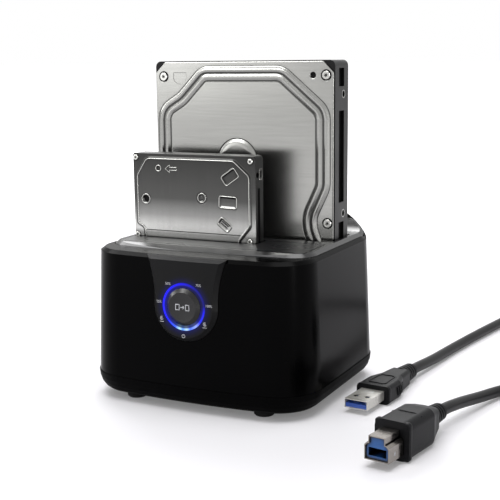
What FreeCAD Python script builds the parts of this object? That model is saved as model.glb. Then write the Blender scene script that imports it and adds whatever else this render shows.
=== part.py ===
import FreeCAD, Part
import math
import os

V = FreeCAD.Vector
os.makedirs("parts", exist_ok=True)

# A two-bay drive duplicator that stands on a desk, with a drive in each bay and its USB cable.
# X runs to the right, Y to the rear and Z up, in millimetres, with the origin on the floor
# at the middle of the body's footprint.

# Clearances
GAP = 0.3
SLIDE_GAP = 0.5
PIN_GAP = 0.06

# Body: a tapered box with a slightly bowed front and a rear edge that sweeps up
RIM_BESIDE_DECK = 2.8
RIM_HALF_Y = 52.6
RIM_Z = 73.8
SHOULDER_RISE = 1.6
SHOULDER_RUN = 2.2
SEAM_Z = 12.3
TAPER = 0.038
CORNER_R = 20.0
FRONT_BOW_R = 420.0
SHELL_WALL = 2.3
SWEEP_BEFORE_REAR = 16.6
SWEEP_R = 17.0
LEDGE_Z = RIM_Z + SHOULDER_RISE
FAR = 90.0

# Base tray, feet and fixings
BASE_BOTTOM_Z = 2.8
BASE_PROUD = 0.4
BASE_TUCK = 6.6
BASE_WALL = 2.2
BASE_BOSS_RISE = 3.0
SEAM_LIP = 3.0
SEAM_LIP_WALL = 1.4
FOOT_R = 5.0
FOOT_RECESS = 1.0
POST_X = 35.5
POST_INSIDE_RIM = 10.6
POST_R = 2.8
BOSS_R = 3.4
SCREW_HEAD_R = 2.4
SCREW_HEAD_H = 1.3
SCREW_R = 1.2
SCREW_LENGTH = 9.0
RIB_HALF = 0.8

# Deck
DECK_RISE = 1.6
DECK_BESIDE_BAY = 4.0
DECK_BEHIND_FRONT = 14.4
DECK_BEFORE_REAR = 3.6
DECK_CORNER_R = 12.0
DECK_CHAMFER_RUN = 2.0
DECK_FRONT_RUN = 5.2
DECK_TOP = 2.2
DECK_WALL = 1.5
DECK_SKIRT_Z = 72.4
DECK_TONGUE_X0 = 24.0
DECK_TONGUE_X1 = 31.0
DECK_TONGUE_OUT = 2.6
DECK_TONGUE_THICK = 1.4
DECK_GAP = 0.5
DECK_Z = LEDGE_Z + DECK_RISE

# Drive sizes
BIG_X = 101.6
BIG_Y = 20.0
BIG_Z = 147.0
SMALL_X = 69.85
SMALL_Y = 9.5
SMALL_Z = 100.0
BIG_SEAT_Z = 19.2
SMALL_SEAT_Z = 20.2

# Bays: each takes a 26.1 mm thick drive
BAY_Y = 27.2
BAY_BEHIND_DECK_FRONT = 7.5
BAY_PITCH = 33.5
WELL_WALL = 1.3
WELL_FLOOR = 1.6
BOARD_BACK_GAP = 2.7
WELL_LEG_R = 2.4
WELL_RIBS = 5
WELL_RIB_OUT = 1.0
WELL_RIB_TOP = 60.0

# Flaps
FLAP_THICK = 1.8
FLAP_DROP = 2.6
FLAP_GAP = 0.5
FLAP_PIN_IN = 1.6
FLAP_PIN_R = 0.7
FLAP_BARREL_R = 1.25

# Main board and sockets
BOARD_THICK = 1.6
BOARD_CORNER = 3.0
BOARD_Z = 10.6
BOARD_POST_INSIDE = 3.5
BOARD_POST_Y = (-30.0, 4.0, 35.0)
SOCKET_X = 37.6
SOCKET_Y = 4.8
SOCKET_CENTRE_X = -25.6
SOCKET_ENTRY = 4.2
TONGUE_X = 33.0
TONGUE_Y = 1.2
TONGUE_GAP = 0.25
CONNECTOR_WALL = 1.0
CONNECTOR_DEPTH = 5.0
SOCKET_BACK = 4.4
SOCKET_LEAD = 0.5
TONGUE_SIGNAL_X = 10.4
TONGUE_SPLIT = 2.4
TONGUE_IN = 0.5
BOARD_INSIDE_RIM_X = 7.6
BOARD_INSIDE_RIM_Y = 6.6
BOARD_SCREW_LENGTH = 5.0
CHIPS = [(22.0, -20.0, 12.0, 12.0, 1.4), (22.0, 12.0, 10.0, 10.0, 1.4), (6.0, -12.0, 6.0, 5.0, 1.2),
         (36.0, 22.0, 7.0, 7.0, 3.2), (4.0, 20.0, 5.0, 3.2, 1.2)]
CANS = [(40.0, -8.0, 2.5, 4.6), (26.5, -38.5, 3.1, 9.0), (18.5, -38.5, 3.1, 9.0)]

# Front panel, light ring and button
PANEL_PROUD = 2.1
PANEL_BEVEL = 1.9
PANEL_BACK = 3.6
PANEL_HALF_X = 17.3
PANEL_WAIST_X = 18.2
PANEL_TOP_X = 21.4
PANEL_WAIST_Z = 65.0
PANEL_MID_Z = 51.3
PANEL_BOTTOM_Z = 35.0
PANEL_TOP_IN = 2.0
PANEL_SLOT_GAP = 0.25
PANEL_FLANGE = 1.6
PANEL_POSTS = [(-9.0, 65.6), (9.0, 65.6), (-8.6, 40.2), (8.6, 40.2)]
PANEL_POST_R = 1.9
PANEL_POST_IN = 1.0
SIDE_EDGE_REACH = 0.6
RING_Z = 52.0
RING_R = 11.4
RING_GAP = 0.1
RING_BEHIND = 0.6
RING_BORE = 0.15
RING_SINK = 0.2
RING_FLANGE = 0.8
RING_FLANGE_THICK = 0.9
BUTTON_R = 9.0
BUTTON_FACE_R = 7.2
BUTTON_PROUD = 1.4
BUTTON_SINK = 0.1
BUTTON_DISH = 0.5
BUTTON_LIP = 1.2
BUTTON_LIP_THICK = 1.0
BUTTON_TRAVEL = 0.8
TACT_HALF = 3.0
TACT_Y = 3.5
TACT_PLUNGER_R = 1.7
TACT_IN = 0.6
LED_BOARD_X = 12.5
LED_BOARD_UP = 16.4
LED_BOARD_DOWN = 14.6
LED_BOARD_THICK = 1.6
LED_BOARD_BEHIND = 7.7
LED_SCREW_LENGTH = 5.0
LED_COUNT = 8
LED_CIRCLE_R = 10.2
LED_SIZE = 2.2
LED_TALL = 0.8

# Rear ports
PORT_RECESS = 1.2
PORT_PLATE_X = 67.0
PORT_PLATE_Z1 = 33.0
PORT_PLATE_R = 3.0
PORT_PLATE_BACK = 1.0
PORT_PLATE_THICK = 2.0
USB_X = -22.0
USB_PORT_X = 12.0
USB_PORT_Z = 11.5
PORT_LIFT = 0.1
USB_PORT_Y = 16.0
USB_CORNER = 2.2
USB_SHELL = 0.4
USB_CORE_BACK = 5.0
USB_TONGUE_X = 5.6
USB_TONGUE_Z = 3.2
USB_TONGUE_IN = 2.0
USB_UPPER_X = 4.6
USB_UPPER_Z = 1.2
USB_UPPER_UP = 2.8
JACK_X = 4.0
JACK_R = 4.6
JACK_HALF_X = 5.0
JACK_Y = 13.0
JACK_NOSE = 3.4
JACK_BORE_R = 3.2
JACK_DEPTH = 9.5
JACK_PIN_R = 1.0
JACK_PIN_IN = 1.0
SWITCH_X = 21.0
SWITCH_Z = 23.0
SWITCH_HALF_X = 9.6
SWITCH_HALF_Z = 6.2
SWITCH_Y = 11.0
SWITCH_WALL = 1.2
SWITCH_BEZEL = 1.0
SWITCH_LIP = 0.9
SWITCH_PIN_IN = 2.6
SWITCH_PIN_R = 0.8
SWITCH_PIN_END = 0.9
SWITCH_SEAT = 0.1
ROCKER_GAP = 0.75
ROCKER_RISE = 2.4
ROCKER_PEAK = 0.9
ROCKER_DROP = 4.0
ROCKER_KEEL = 1.4
ROCKER_TILT = 8.0

# Base tray details
BASE_STEPS = 5
FOOT_CHAMFER = 0.6
VENTS = 7
VENT_PITCH = 8.0
VENT_X = 3.0
VENT_Y = 26.0

# Flap details
FLAP_RIBS = 5
FLAP_RIB = 0.7
FLAP_RIB_END = 2.0
SPRING_HALF = 4.0
SPRING_ROOM = 0.7
SPRING_TURNS = 9
SPRING_LEG = 8.0
DRIVE_NOTCH = 0.6

# Drive details, measured from each drive's own lower left front corner where they are steps
COVER_UP = 1.0
COVER_MARGIN = 0.5
COVER_SCREW_R = 0.9
COVER_SCREW_LONG = 4.0
COVER_SCREW_DEEP = 4.5
COVER_HEAD_H = 0.5
DRIVE_BOARD_THICK = 1.2
SIDE_HOLE_R = 1.45
SIDE_HOLE_DEPTH = 3.5
SIDE_HOLE_IN = 6.3
BIG_CORNER_R = 3.0
BIG_COVER = 1.0
BIG_RIDGE = 1.0
BIG_RIDGE_BEVEL = 0.8
BIG_GROOVE = (2.6, 3.8, 0.5)
BIG_BEAD = 7.0
BIG_SINK = 0.5
BIG_SINK_BEVEL = 0.4
BIG_BOSS_R = 11.0
BIG_BOSS_X = -2.5
BIG_BOSS_Z = 115.6
BIG_BOSS_RISE = 0.4
BIG_COVER_CORNER = 5.5
BIG_CONTOUR = [(-48.9, 32.0, 6.0), (-48.9, 142.5, 8.0), (-37.0, 149.6, 12.0), (-23.5, 163.3, 7.0),
               (23.8, 163.3, 8.0), (48.4, 142.4, 9.0), (48.4, 103.0, 14.0), (40.4, 86.0, 10.0),
               (46.6, 69.0, 14.0), (46.6, 32.0, 6.0)]
BIG_SCREWS = [(-45.6, 158.3), (46.4, 158.8), (47.2, 85.4), (-46.0, 25.5), (46.0, 25.5)]
BIG_SCREW_HEAD = 2.1
BIG_HOLE_X = 39.4
BIG_HOLE_Z = 158.8
BIG_HOLE_R = 1.5
BIG_STEPS = [(8.0, 24.0, 1.6, 5.0, 12.0), (48.0, 66.0, 1.6, 5.0, 12.0), (76.0, 122.0, 1.6, 5.0, 12.0),
             (134.0, 143.0, 1.6, 5.0, 12.0)]
BIG_SIDE_HOLES = [28.5, 70.1, 130.1]
BIG_BOARD = (6.0, 78.0, 2.6)
SMALL_CORNER_R = 2.0
SMALL_COVER = 0.6
SMALL_PRESS = 0.5
SMALL_COVER_CORNER = 1.6
SMALL_CONTOUR = [(-49.2, 25.0, 3.0), (-49.2, 109.0, 4.0), (-43.2, 118.3, 4.0), (7.2, 118.3, 4.0),
                 (16.3, 110.6, 4.0), (16.3, 85.0, 4.0), (10.2, 77.6, 3.0), (10.2, 25.0, 3.0)]
SMALL_MIDDLE = (-49.2, 77.8)
SMALL_SCREWS = [(-49.3, 117.9), (16.2, 117.6), SMALL_MIDDLE, (15.6, 77.8), (-49.2, 22.4), (15.6, 22.4)]
SMALL_SCREW_AREA = 4.6
SMALL_SCREW_HEAD = 1.4
SMALL_STEPS = [(18.0, 84.0, 0.8, 2.0, 4.6)]
SMALL_SIDE_HOLES = [14.0, 90.6]
SMALL_BOARD = (3.0, 56.0, 1.6)

# USB cable: plug sizes along and across each plug, then the routes on the floor
CABLE_R = 2.75
RELIEF_RIBS = 5
RELIEF_WALL = 2.0
RELIEF_SEAT = 2.0
GRIP_ROUND = 0.22
A_PLACE = (77.0, -5.4)
A_HEADING = 84.0
A_AXIS_Z = 4.7
A_SHELL_X = 18.7
A_SHELL_Y = 12.0
A_SHELL_Z = 4.5
A_SHELL_WALL = 0.35
A_SHELL_BACK = 0.6
A_WINDOW = 2.4
A_WINDOW_X = 5.6
A_WINDOW_Y = 2.9
A_TONGUE_IN = 0.8
A_TONGUE_Z = 1.9
A_GRIP_X = 33.0
A_GRIP = [(0.0, 17.5, 9.2), (0.42, 17.5, 9.2), (0.66, 12.5, 9.0), (1.0, 10.5, 8.8)]
A_RELIEF_X = 13.0
B_PLACE = (109.3, -72.7)
B_HEADING = 80.0
B_AXIS_Z = 8.7
B_SHELL_X = 13.0
B_SHELL_Y = 11.6
B_SHELL_Z = 10.6
B_STEP_Z = 3.0
B_STEP_Y = 7.8
B_CORNER = 1.2
B_SHELL_WALL = 0.4
B_INSERT_IN = 0.8
B_WELL_Y = 8.4
B_WELL_Z = 3.6
B_WELL_DOWN = 3.6
B_WELL_BACK = 3.0
B_GRIP_X = 34.0
B_GRIP = [(0.0, 16.6, 17.2), (0.68, 16.6, 17.2), (0.84, 13.0, 14.6), (1.0, 10.5, 11.0)]
B_RELIEF_X = 11.0
A_STRAIGHT = 50.0
B_STRAIGHT = 49.0
ROUTE_A = [(85.0, 66.0, 3.4), (88.3, 98.0, 2.8), (93.6, 134.0, 2.8), (99.6, 168.0, 2.8),
           (103.1, 187.7, 2.8), (117.0, 202.1, 2.8), (136.6, 206.3, 2.8), (155.1, 198.8, 2.8),
           (166.3, 182.2, 2.8), (166.3, 162.2, 2.8), (165.6, 134.0, 2.8), (164.2, 108.0, 2.8),
           (162.2, 84.0, 2.8)]
ROUTE_B = [(121.5, -5.0, 6.6), (125.3, 11.0, 4.4), (131.5, 32.0, 2.8), (142.0, 47.0, 2.8),
           (152.5, 58.0, 2.8), (160.6, 75.0, 2.8)]
COIL_X = 193.0
COIL_Y = 78.0
COIL_R = 30.0
COIL_SIDE = 13.3


# ---------------------------------------------------------------- shapes used by several parts

def box(x0, x1, y0, y1, z0, z1):
    """A plain block between two corners."""
    return Part.makeBox(x1 - x0, y1 - y0, z1 - z0, V(x0, y0, z0))


def rod(radius, start, length, direction=V(0, 0, 1)):
    """A plain cylinder."""
    return Part.makeCylinder(radius, length, start, direction)


def line(start, end):
    """A straight edge between two points."""
    return Part.LineSegment(start, end).toShape()


def arc_about(cx, cy, radius, start, end, z):
    """An arc about a vertical axis, between two angles in radians."""
    points = []
    for share in (0, 0.5, 1):
        a = start + share * (end - start)
        points.append(V(cx + radius * math.cos(a), cy + radius * math.sin(a), z))
    return Part.Arc(*points).toShape()


def joined(shapes):
    """One solid from several that touch or overlap."""
    return shapes[0].multiFuse(shapes[1:]).removeSplitter()


def group(shapes):
    """Separate solids that share a node."""
    return Part.makeCompound(shapes)


def ring(outer, inner, start, length, direction=V(0, 0, 1)):
    """A round tube: one cylinder less another along the same line."""
    return rod(outer, start, length, direction).cut(rod(inner, start, length, direction))


def rounded_block(x0, x1, y0, y1, z0, z1, radius):
    """A block with round vertical edges."""
    block = box(x0, x1, y0, y1, z0, z1)
    upright = [e for e in block.Edges if abs(e.tangentAt(e.FirstParameter).z) > 0.99]
    return block.makeFillet(radius, upright)


def rounded_polygon(corners, to_point):
    """A closed outline in a plane, from corners of (u, v, radius)."""
    pieces = []
    count = len(corners)
    for i in range(count):
        u, v, radius = corners[i]
        here = V(u, v, 0)
        before = V(*corners[i - 1][:2], 0) - here
        after = V(*corners[(i + 1) % count][:2], 0) - here
        half = before.getAngle(after) / 2
        back = radius / math.tan(half)
        middle = (before.normalize() + after.normalize()).normalize()
        reach = radius / math.sin(half) - radius
        pieces.append((here + before * back, here + middle * reach, here + after * back))
    edges = []
    for i in range(count):
        start, middle, end = [to_point(p.x, p.y) for p in pieces[i]]
        following = to_point(pieces[(i + 1) % count][0].x, pieces[(i + 1) % count][0].y)
        edges.append(Part.Arc(start, middle, end).toShape())
        if (following - end).Length > 0.001:
            edges.append(line(end, following))
    return Part.Wire(edges)


# ---------------------------------------------------------------- the body's outer form

def outline(half_x, y0, y1, radius, bow, z):
    """A rectangle with round corners whose front side is a shallow arc, at one height."""
    cx = half_x - radius
    far_y = y0 + bow
    cy = far_y - math.sqrt((bow - radius) ** 2 - cx ** 2)
    slant = math.atan2(cy - far_y, cx)
    rear_y = y1 - radius
    left_slant = math.pi - slant
    edges = [
        line(V(half_x, cy, z), V(half_x, rear_y, z)),
        arc_about(cx, rear_y, radius, 0, math.pi / 2, z),
        line(V(cx, y1, z), V(-cx, y1, z)),
        arc_about(-cx, rear_y, radius, math.pi / 2, math.pi, z),
        line(V(-half_x, rear_y, z), V(-half_x, cy, z)),
        arc_about(-cx, cy, radius, -math.pi, left_slant - 2 * math.pi, z),
        arc_about(0, far_y, bow, left_slant - 2 * math.pi, slant, z),
        arc_about(cx, cy, radius, slant, 0, z),
    ]
    return Part.Wire(edges)


def body_outline(z, inset, level=None):
    """The body's outline at one height, drawn in by an inset, laid at another height if given."""
    spread = TAPER * (RIM_Z - z) - inset
    half_y = RIM_HALF_Y + spread
    at = z if level is None else level
    return outline(RIM_HALF_X + spread, -half_y, half_y, CORNER_R + spread,
                   FRONT_BOW_R + spread, at)


def band(outer, inner, z0, z1):
    """An upright band that follows the body's outline, between two insets."""
    full = Part.Face(body_outline(SEAM_Z, outer, z0)).extrude(V(0, 0, z1 - z0))
    return full.cut(Part.Face(body_outline(SEAM_Z, inner, z0)).extrude(V(0, 0, z1 - z0)))


def under_sweep(inset):
    """Everything under the top face: level, then swept up towards the rear."""
    top = LEDGE_Z - inset
    radius = SWEEP_R + inset
    start = V(-FAR, SWEEP_START_Y, top)
    middle = V(-FAR, SWEEP_START_Y + radius * math.sin(math.pi / 4),
               top + radius * (1 - math.cos(math.pi / 4)))
    end = V(-FAR, SWEEP_START_Y + radius, top + radius)
    edges = [
        line(V(-FAR, -FAR, top), start),
        Part.Arc(start, middle, end).toShape(),
        line(end, V(-FAR, FAR, top + radius)),
        line(V(-FAR, FAR, top + radius), V(-FAR, FAR, 0)),
        line(V(-FAR, FAR, 0), V(-FAR, -FAR, 0)),
        line(V(-FAR, -FAR, 0), V(-FAR, -FAR, top)),
    ]
    return Part.Face(Part.Wire(edges)).extrude(V(2 * FAR, 0, 0))


def body_form(inset, bottom=SEAM_Z):
    """The tapered body drawn in by an inset, up to its top face."""
    sections = [body_outline(bottom, inset), body_outline(LEDGE_Z + SWEEP_R, inset)]
    return Part.makeLoft(sections, True, True).common(under_sweep(inset))


def top_edges(shape, level):
    """The outer edges of the top face, without the line where the sweep starts."""
    found = []
    for edge in shape.Edges:
        bounds = edge.BoundBox
        across = bounds.YLength < 0.01 and abs(bounds.YMin - SWEEP_START_Y) < 0.1
        if bounds.ZMin > level - 0.1 and not across:
            found.append(edge)
    return found


def shouldered_form(inset, bottom=SEAM_Z):
    """The body form with the sloping shoulder round its top."""
    form = body_form(inset, bottom)
    return form.makeChamfer(SHOULDER_RISE, SHOULDER_RUN, top_edges(form, LEDGE_Z - inset))


def deck_outline(grow, z):
    """The deck island's outline at one height, grown by a clearance."""
    return outline(DECK_HALF_X + grow, DECK_FRONT_Y - grow, DECK_REAR_Y + grow,
                   DECK_CORNER_R + grow, FRONT_BOW_R + grow, z)


def deck_prism(grow, z0, z1):
    """The deck island's outline carried straight up between two heights."""
    return Part.Face(deck_outline(grow, z0)).extrude(V(0, 0, z1 - z0))


def panel_prism(grow, y0, y1):
    """The front panel's shield outline, run from front to rear."""
    half = PANEL_HALF_X + grow
    waist = PANEL_WAIST_X + grow
    top = PANEL_TOP_X + grow
    bottom = PANEL_BOTTOM_Z - grow
    over_z = LEDGE_Z + 2 * PANEL_PROUD
    edges = [
        Part.Arc(V(-half, y0, PANEL_MID_Z), V(0, y0, bottom), V(half, y0, PANEL_MID_Z)).toShape(),
        Part.Arc(V(half, y0, PANEL_MID_Z), V(waist, y0, PANEL_WAIST_Z), V(top, y0, LEDGE_Z)).toShape(),
        line(V(top, y0, LEDGE_Z), V(top, y0, over_z)),
        line(V(top, y0, over_z), V(-top, y0, over_z)),
        line(V(-top, y0, over_z), V(-top, y0, LEDGE_Z)),
        Part.Arc(V(-top, y0, LEDGE_Z), V(-waist, y0, PANEL_WAIST_Z), V(-half, y0, PANEL_MID_Z)).toShape(),
    ]
    return Part.Face(Part.Wire(edges)).extrude(V(0, y1 - y0, 0))


def half_y_at(z):
    """How far the front and rear walls stand from the middle, at one height."""
    return RIM_HALF_Y + TAPER * (RIM_Z - z)


# ---------------------------------------------------------------- places worked out once

BAY_X = BIG_X + 2 * SLIDE_GAP
DECK_HALF_X = BAY_X / 2 + DECK_BESIDE_BAY
RIM_HALF_X = DECK_HALF_X + RIM_BESIDE_DECK
DECK_FRONT_Y = DECK_BEHIND_FRONT - RIM_HALF_Y
DECK_REAR_Y = RIM_HALF_Y - DECK_BEFORE_REAR
SWEEP_START_Y = RIM_HALF_Y - SWEEP_BEFORE_REAR
FRONT_BAY_Y = DECK_FRONT_Y + BAY_BEHIND_DECK_FRONT
REAR_BAY_Y = FRONT_BAY_Y + BAY_PITCH
POST_Y = RIM_HALF_Y - POST_INSIDE_RIM
BOARD_HALF_X = RIM_HALF_X - BOARD_INSIDE_RIM_X
BOARD_HALF_Y = RIM_HALF_Y - BOARD_INSIDE_RIM_Y
BOARD_POST_X = BOARD_HALF_X - BOARD_POST_INSIDE
WELL_LEG_X = BOARD_POST_X
PANEL_TOP_Y = PANEL_TOP_IN - RIM_HALF_Y
BOARD_TOP = BOARD_Z + BOARD_THICK
BASE_FLOOR_Z = BASE_BOTTOM_Z + BASE_WALL
BOSS_TOP = BASE_FLOOR_Z + BASE_BOSS_RISE
FLAP_Z = DECK_Z - FLAP_DROP
BAY_HALF_X = BAY_X / 2
DECK_UNDER_Z = DECK_Z - DECK_TOP
BIG_LEFT = -BIG_X / 2
SMALL_LEFT = GAP - BAY_HALF_X
BIG_BACK_Y = REAR_BAY_Y + BAY_Y - BOARD_BACK_GAP
SMALL_BACK_Y = FRONT_BAY_Y + BAY_Y - BOARD_BACK_GAP
BIG_FRONT_Y = BIG_BACK_Y - BIG_Y
SMALL_FRONT_Y = SMALL_BACK_Y - SMALL_Y
PORT_Z = BOARD_TOP + USB_PORT_Z / 2 + PORT_LIFT
REAR_FACE_Y = half_y_at(PORT_Z) - PORT_RECESS
SWITCH_PIN_Y = REAR_FACE_Y - SWITCH_PIN_IN
POSTS = [(x, y) for x in (-POST_X, POST_X) for y in (-POST_Y, POST_Y)]
FACE_Y = -half_y_at(RING_Z) - PANEL_PROUD
PANEL_BACK_Y = -half_y_at(RING_Z) + PANEL_BACK
RING_BACK_Y = PANEL_BACK_Y + RING_BEHIND + RING_FLANGE_THICK
LIP_Y = RING_BACK_Y + GAP
LED_BOARD_Y = PANEL_BACK_Y + LED_BOARD_BEHIND
BIG_COVER_Y = BIG_FRONT_Y + BIG_BOSS_RISE + BIG_RIDGE + BIG_COVER
SMALL_COVER_Y = SMALL_FRONT_Y + SMALL_PRESS + SMALL_COVER
BOARD_POSTS = [(x, y) for x in (-BOARD_POST_X, BOARD_POST_X) for y in BOARD_POST_Y]


# ---------------------------------------------------------------- housing

def gloss_shell():
    """The glossy skirt, with posts for the base screws and openings for deck, panel and ports."""
    shell = shouldered_form(0).cut(body_form(SHELL_WALL))
    for x, y in POSTS:
        post = rod(POST_R, V(x, y, BOSS_TOP), LEDGE_Z - BOSS_TOP)
        wall_y = half_y_at(BOSS_TOP) if y > 0 else -half_y_at(BOSS_TOP)
        low, high = sorted((y, wall_y))
        rib = box(x - RIB_HALF, x + RIB_HALF, low, high, SEAM_Z + SEAM_LIP + GAP, LEDGE_Z)
        stem = post.fuse(rib).common(body_form(SHELL_WALL / 2, BOSS_TOP))
        shell = shell.fuse(stem)
    shell = shell.cut(deck_prism(DECK_GAP, DECK_SKIRT_Z - GAP, DECK_Z + 2 * SWEEP_R))
    shell = shell.cut(panel_prism(PANEL_SLOT_GAP, -FAR, PANEL_TOP_Y + PANEL_SLOT_GAP))
    for x, y in POSTS:
        shell = shell.cut(rod(SCREW_R + PIN_GAP, V(x, y, BOSS_TOP), SCREW_LENGTH))
    return shell.cut(port_opening(PANEL_SLOT_GAP)).removeSplitter()


def port_opening(grow):
    """The block that the rear port plate fills: open at the seam, round at its upper corners."""
    half = PORT_PLATE_X / 2 + grow
    inner_y = half_y_at(LEDGE_Z) - SHELL_WALL - PORT_PLATE_BACK
    block = box(-half, half, inner_y, FAR, SEAM_Z - SEAM_LIP, PORT_PLATE_Z1 + grow)
    upper = [e for e in block.Edges
             if abs(e.tangentAt(e.FirstParameter).y) > 0.99 and e.BoundBox.ZMin > SEAM_Z]
    return block.makeFillet(PORT_PLATE_R, upper)


def top_deck():
    """The satin deck: a raised island with the two bay openings and the swept rear."""
    block = deck_prism(0, DECK_SKIRT_Z, DECK_Z + 2 * SWEEP_R).common(under_sweep(-DECK_RISE))
    block = block.makeChamfer(DECK_RISE, DECK_CHAMFER_RUN, top_edges(block, DECK_Z))
    slope_y = DECK_FRONT_Y + DECK_FRONT_RUN
    wedge = Part.Face(Part.makePolygon([
        V(-FAR, slope_y, DECK_Z), V(-FAR, DECK_FRONT_Y, LEDGE_Z),
        V(-FAR, -FAR, LEDGE_Z), V(-FAR, -FAR, FAR), V(-FAR, slope_y, FAR),
        V(-FAR, slope_y, DECK_Z)])).extrude(V(2 * FAR, 0, 0))
    block = block.cut(wedge)
    hollow = deck_prism(-DECK_WALL, 0, DECK_Z + 2 * SWEEP_R)
    block = block.cut(hollow.common(under_sweep(DECK_TOP - DECK_RISE)))
    for x0, x1 in ((-DECK_TONGUE_X1, -DECK_TONGUE_X0), (DECK_TONGUE_X0, DECK_TONGUE_X1)):
        block = block.fuse(box(x0, x1, DECK_FRONT_Y - DECK_TONGUE_OUT, DECK_FRONT_Y + DECK_WALL,
                               DECK_SKIRT_Z - DECK_TONGUE_THICK, DECK_SKIRT_Z))
    for y0 in (FRONT_BAY_Y, REAR_BAY_Y):
        block = block.cut(box(-BAY_HALF_X, BAY_HALF_X, y0, y0 + BAY_Y, 0, FAR))
        block = block.cut(pin_space(y0))
    return block.removeSplitter()


def pin_space(bay_y):
    """The running fit that the flap's pin turns in."""
    length = 2 * (BAY_HALF_X + WELL_WALL)
    return rod(FLAP_PIN_R + PIN_GAP, V(-length / 2, bay_y + FLAP_PIN_IN, FLAP_Z), length, V(1, 0, 0))


def well(bay_y, floor_z, back_y):
    """A bay's box below the deck, with a window for the socket and legs down to the board."""
    half = BAY_HALF_X + WELL_WALL
    y0, y1 = bay_y - WELL_WALL, bay_y + BAY_Y + WELL_WALL
    shape = box(-half, half, y0, y1, floor_z - WELL_FLOOR, DECK_UNDER_Z)
    shape = shape.cut(box(-BAY_HALF_X, BAY_HALF_X, bay_y, bay_y + BAY_Y, floor_z, FAR))
    rim = deck_prism(-DECK_WALL - GAP, DECK_SKIRT_Z - GAP, DECK_UNDER_Z)
    outside = box(-FAR, FAR, -FAR, FAR, DECK_SKIRT_Z - GAP, DECK_UNDER_Z).cut(rim)
    shape = shape.cut(outside)
    window = socket_block(back_y, GAP, 0, FAR)
    shape = shape.cut(window).cut(pin_space(bay_y))
    middle_y = bay_y + BAY_Y / 2
    for x in (-WELL_LEG_X, WELL_LEG_X):
        shape = shape.fuse(rod(WELL_LEG_R, V(x, middle_y, BOARD_TOP), floor_z - WELL_FLOOR - BOARD_TOP))
    for i in range(WELL_RIBS):
        x = -half + (i + 0.5) * 2 * half / WELL_RIBS
        rib_y = y0 - WELL_RIB_OUT if bay_y < 0 else y1
        rib = box(x - RIB_HALF, x + RIB_HALF, rib_y, rib_y + WELL_RIB_OUT, floor_z, WELL_RIB_TOP)
        shape = shape.fuse(rib)
    return shape.removeSplitter()


def front_panel():
    """The matte shield on the front: a raised face with bevelled sides, open for the ring."""
    raised = shouldered_form(0)
    raised.translate(V(0, -PANEL_PROUD, 0))
    panel = raised.cut(body_form(PANEL_BACK)).common(panel_prism(0, -FAR, PANEL_TOP_Y))
    panel = panel.makeChamfer(PANEL_BEVEL, panel_face_edges(panel)).common(panel)
    flange = body_form(SHELL_WALL + RING_GAP).cut(body_form(PANEL_BACK))
    panel = panel.fuse(flange.common(panel_prism(PANEL_FLANGE, -FAR, -RIM_HALF_Y + 2 * PANEL_BACK)))
    for x, z in PANEL_POSTS:
        start = PANEL_BACK_Y - PANEL_POST_IN
        panel = panel.fuse(rod(PANEL_POST_R, V(x, start, z), LED_BOARD_Y - start, V(0, 1, 0)))
    for x, z in PANEL_POSTS:
        start = LED_BOARD_Y + LED_BOARD_THICK - LED_SCREW_LENGTH - PIN_GAP
        panel = panel.cut(rod(SCREW_R + PIN_GAP, V(x, start, z), FAR, V(0, 1, 0)))
    return panel.cut(rod(RING_R + RING_GAP, V(0, -FAR, RING_Z), FAR, V(0, 1, 0))).removeSplitter()


def panel_face_edges(panel):
    """The side edges of the panel's front face."""
    found = []
    for edge in panel.Edges:
        middle = edge.valueAt((edge.FirstParameter + edge.LastParameter) / 2)
        proud_y = -half_y_at(middle.z) - PANEL_PROUD
        if middle.z < LEDGE_Z - PANEL_PROUD and middle.y < proud_y + SIDE_EDGE_REACH:
            if edge.BoundBox.ZLength > 1.0 or edge.BoundBox.ZMax < RING_Z - RING_R:
                found.append(edge)
    return found


def rear_port_plate():
    """The recessed matte plate round the rear ports."""
    skin = body_form(PORT_RECESS).cut(body_form(PORT_RECESS + PORT_PLATE_THICK))
    plate = skin.common(port_opening(0))
    plate = plate.cut(usb_b_block(GAP, 0, FAR))
    plate = plate.cut(rod(JACK_R + GAP, V(JACK_X, 0, PORT_Z), FAR, V(0, 1, 0)))
    return plate.cut(switch_block(GAP, 0, FAR))


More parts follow.
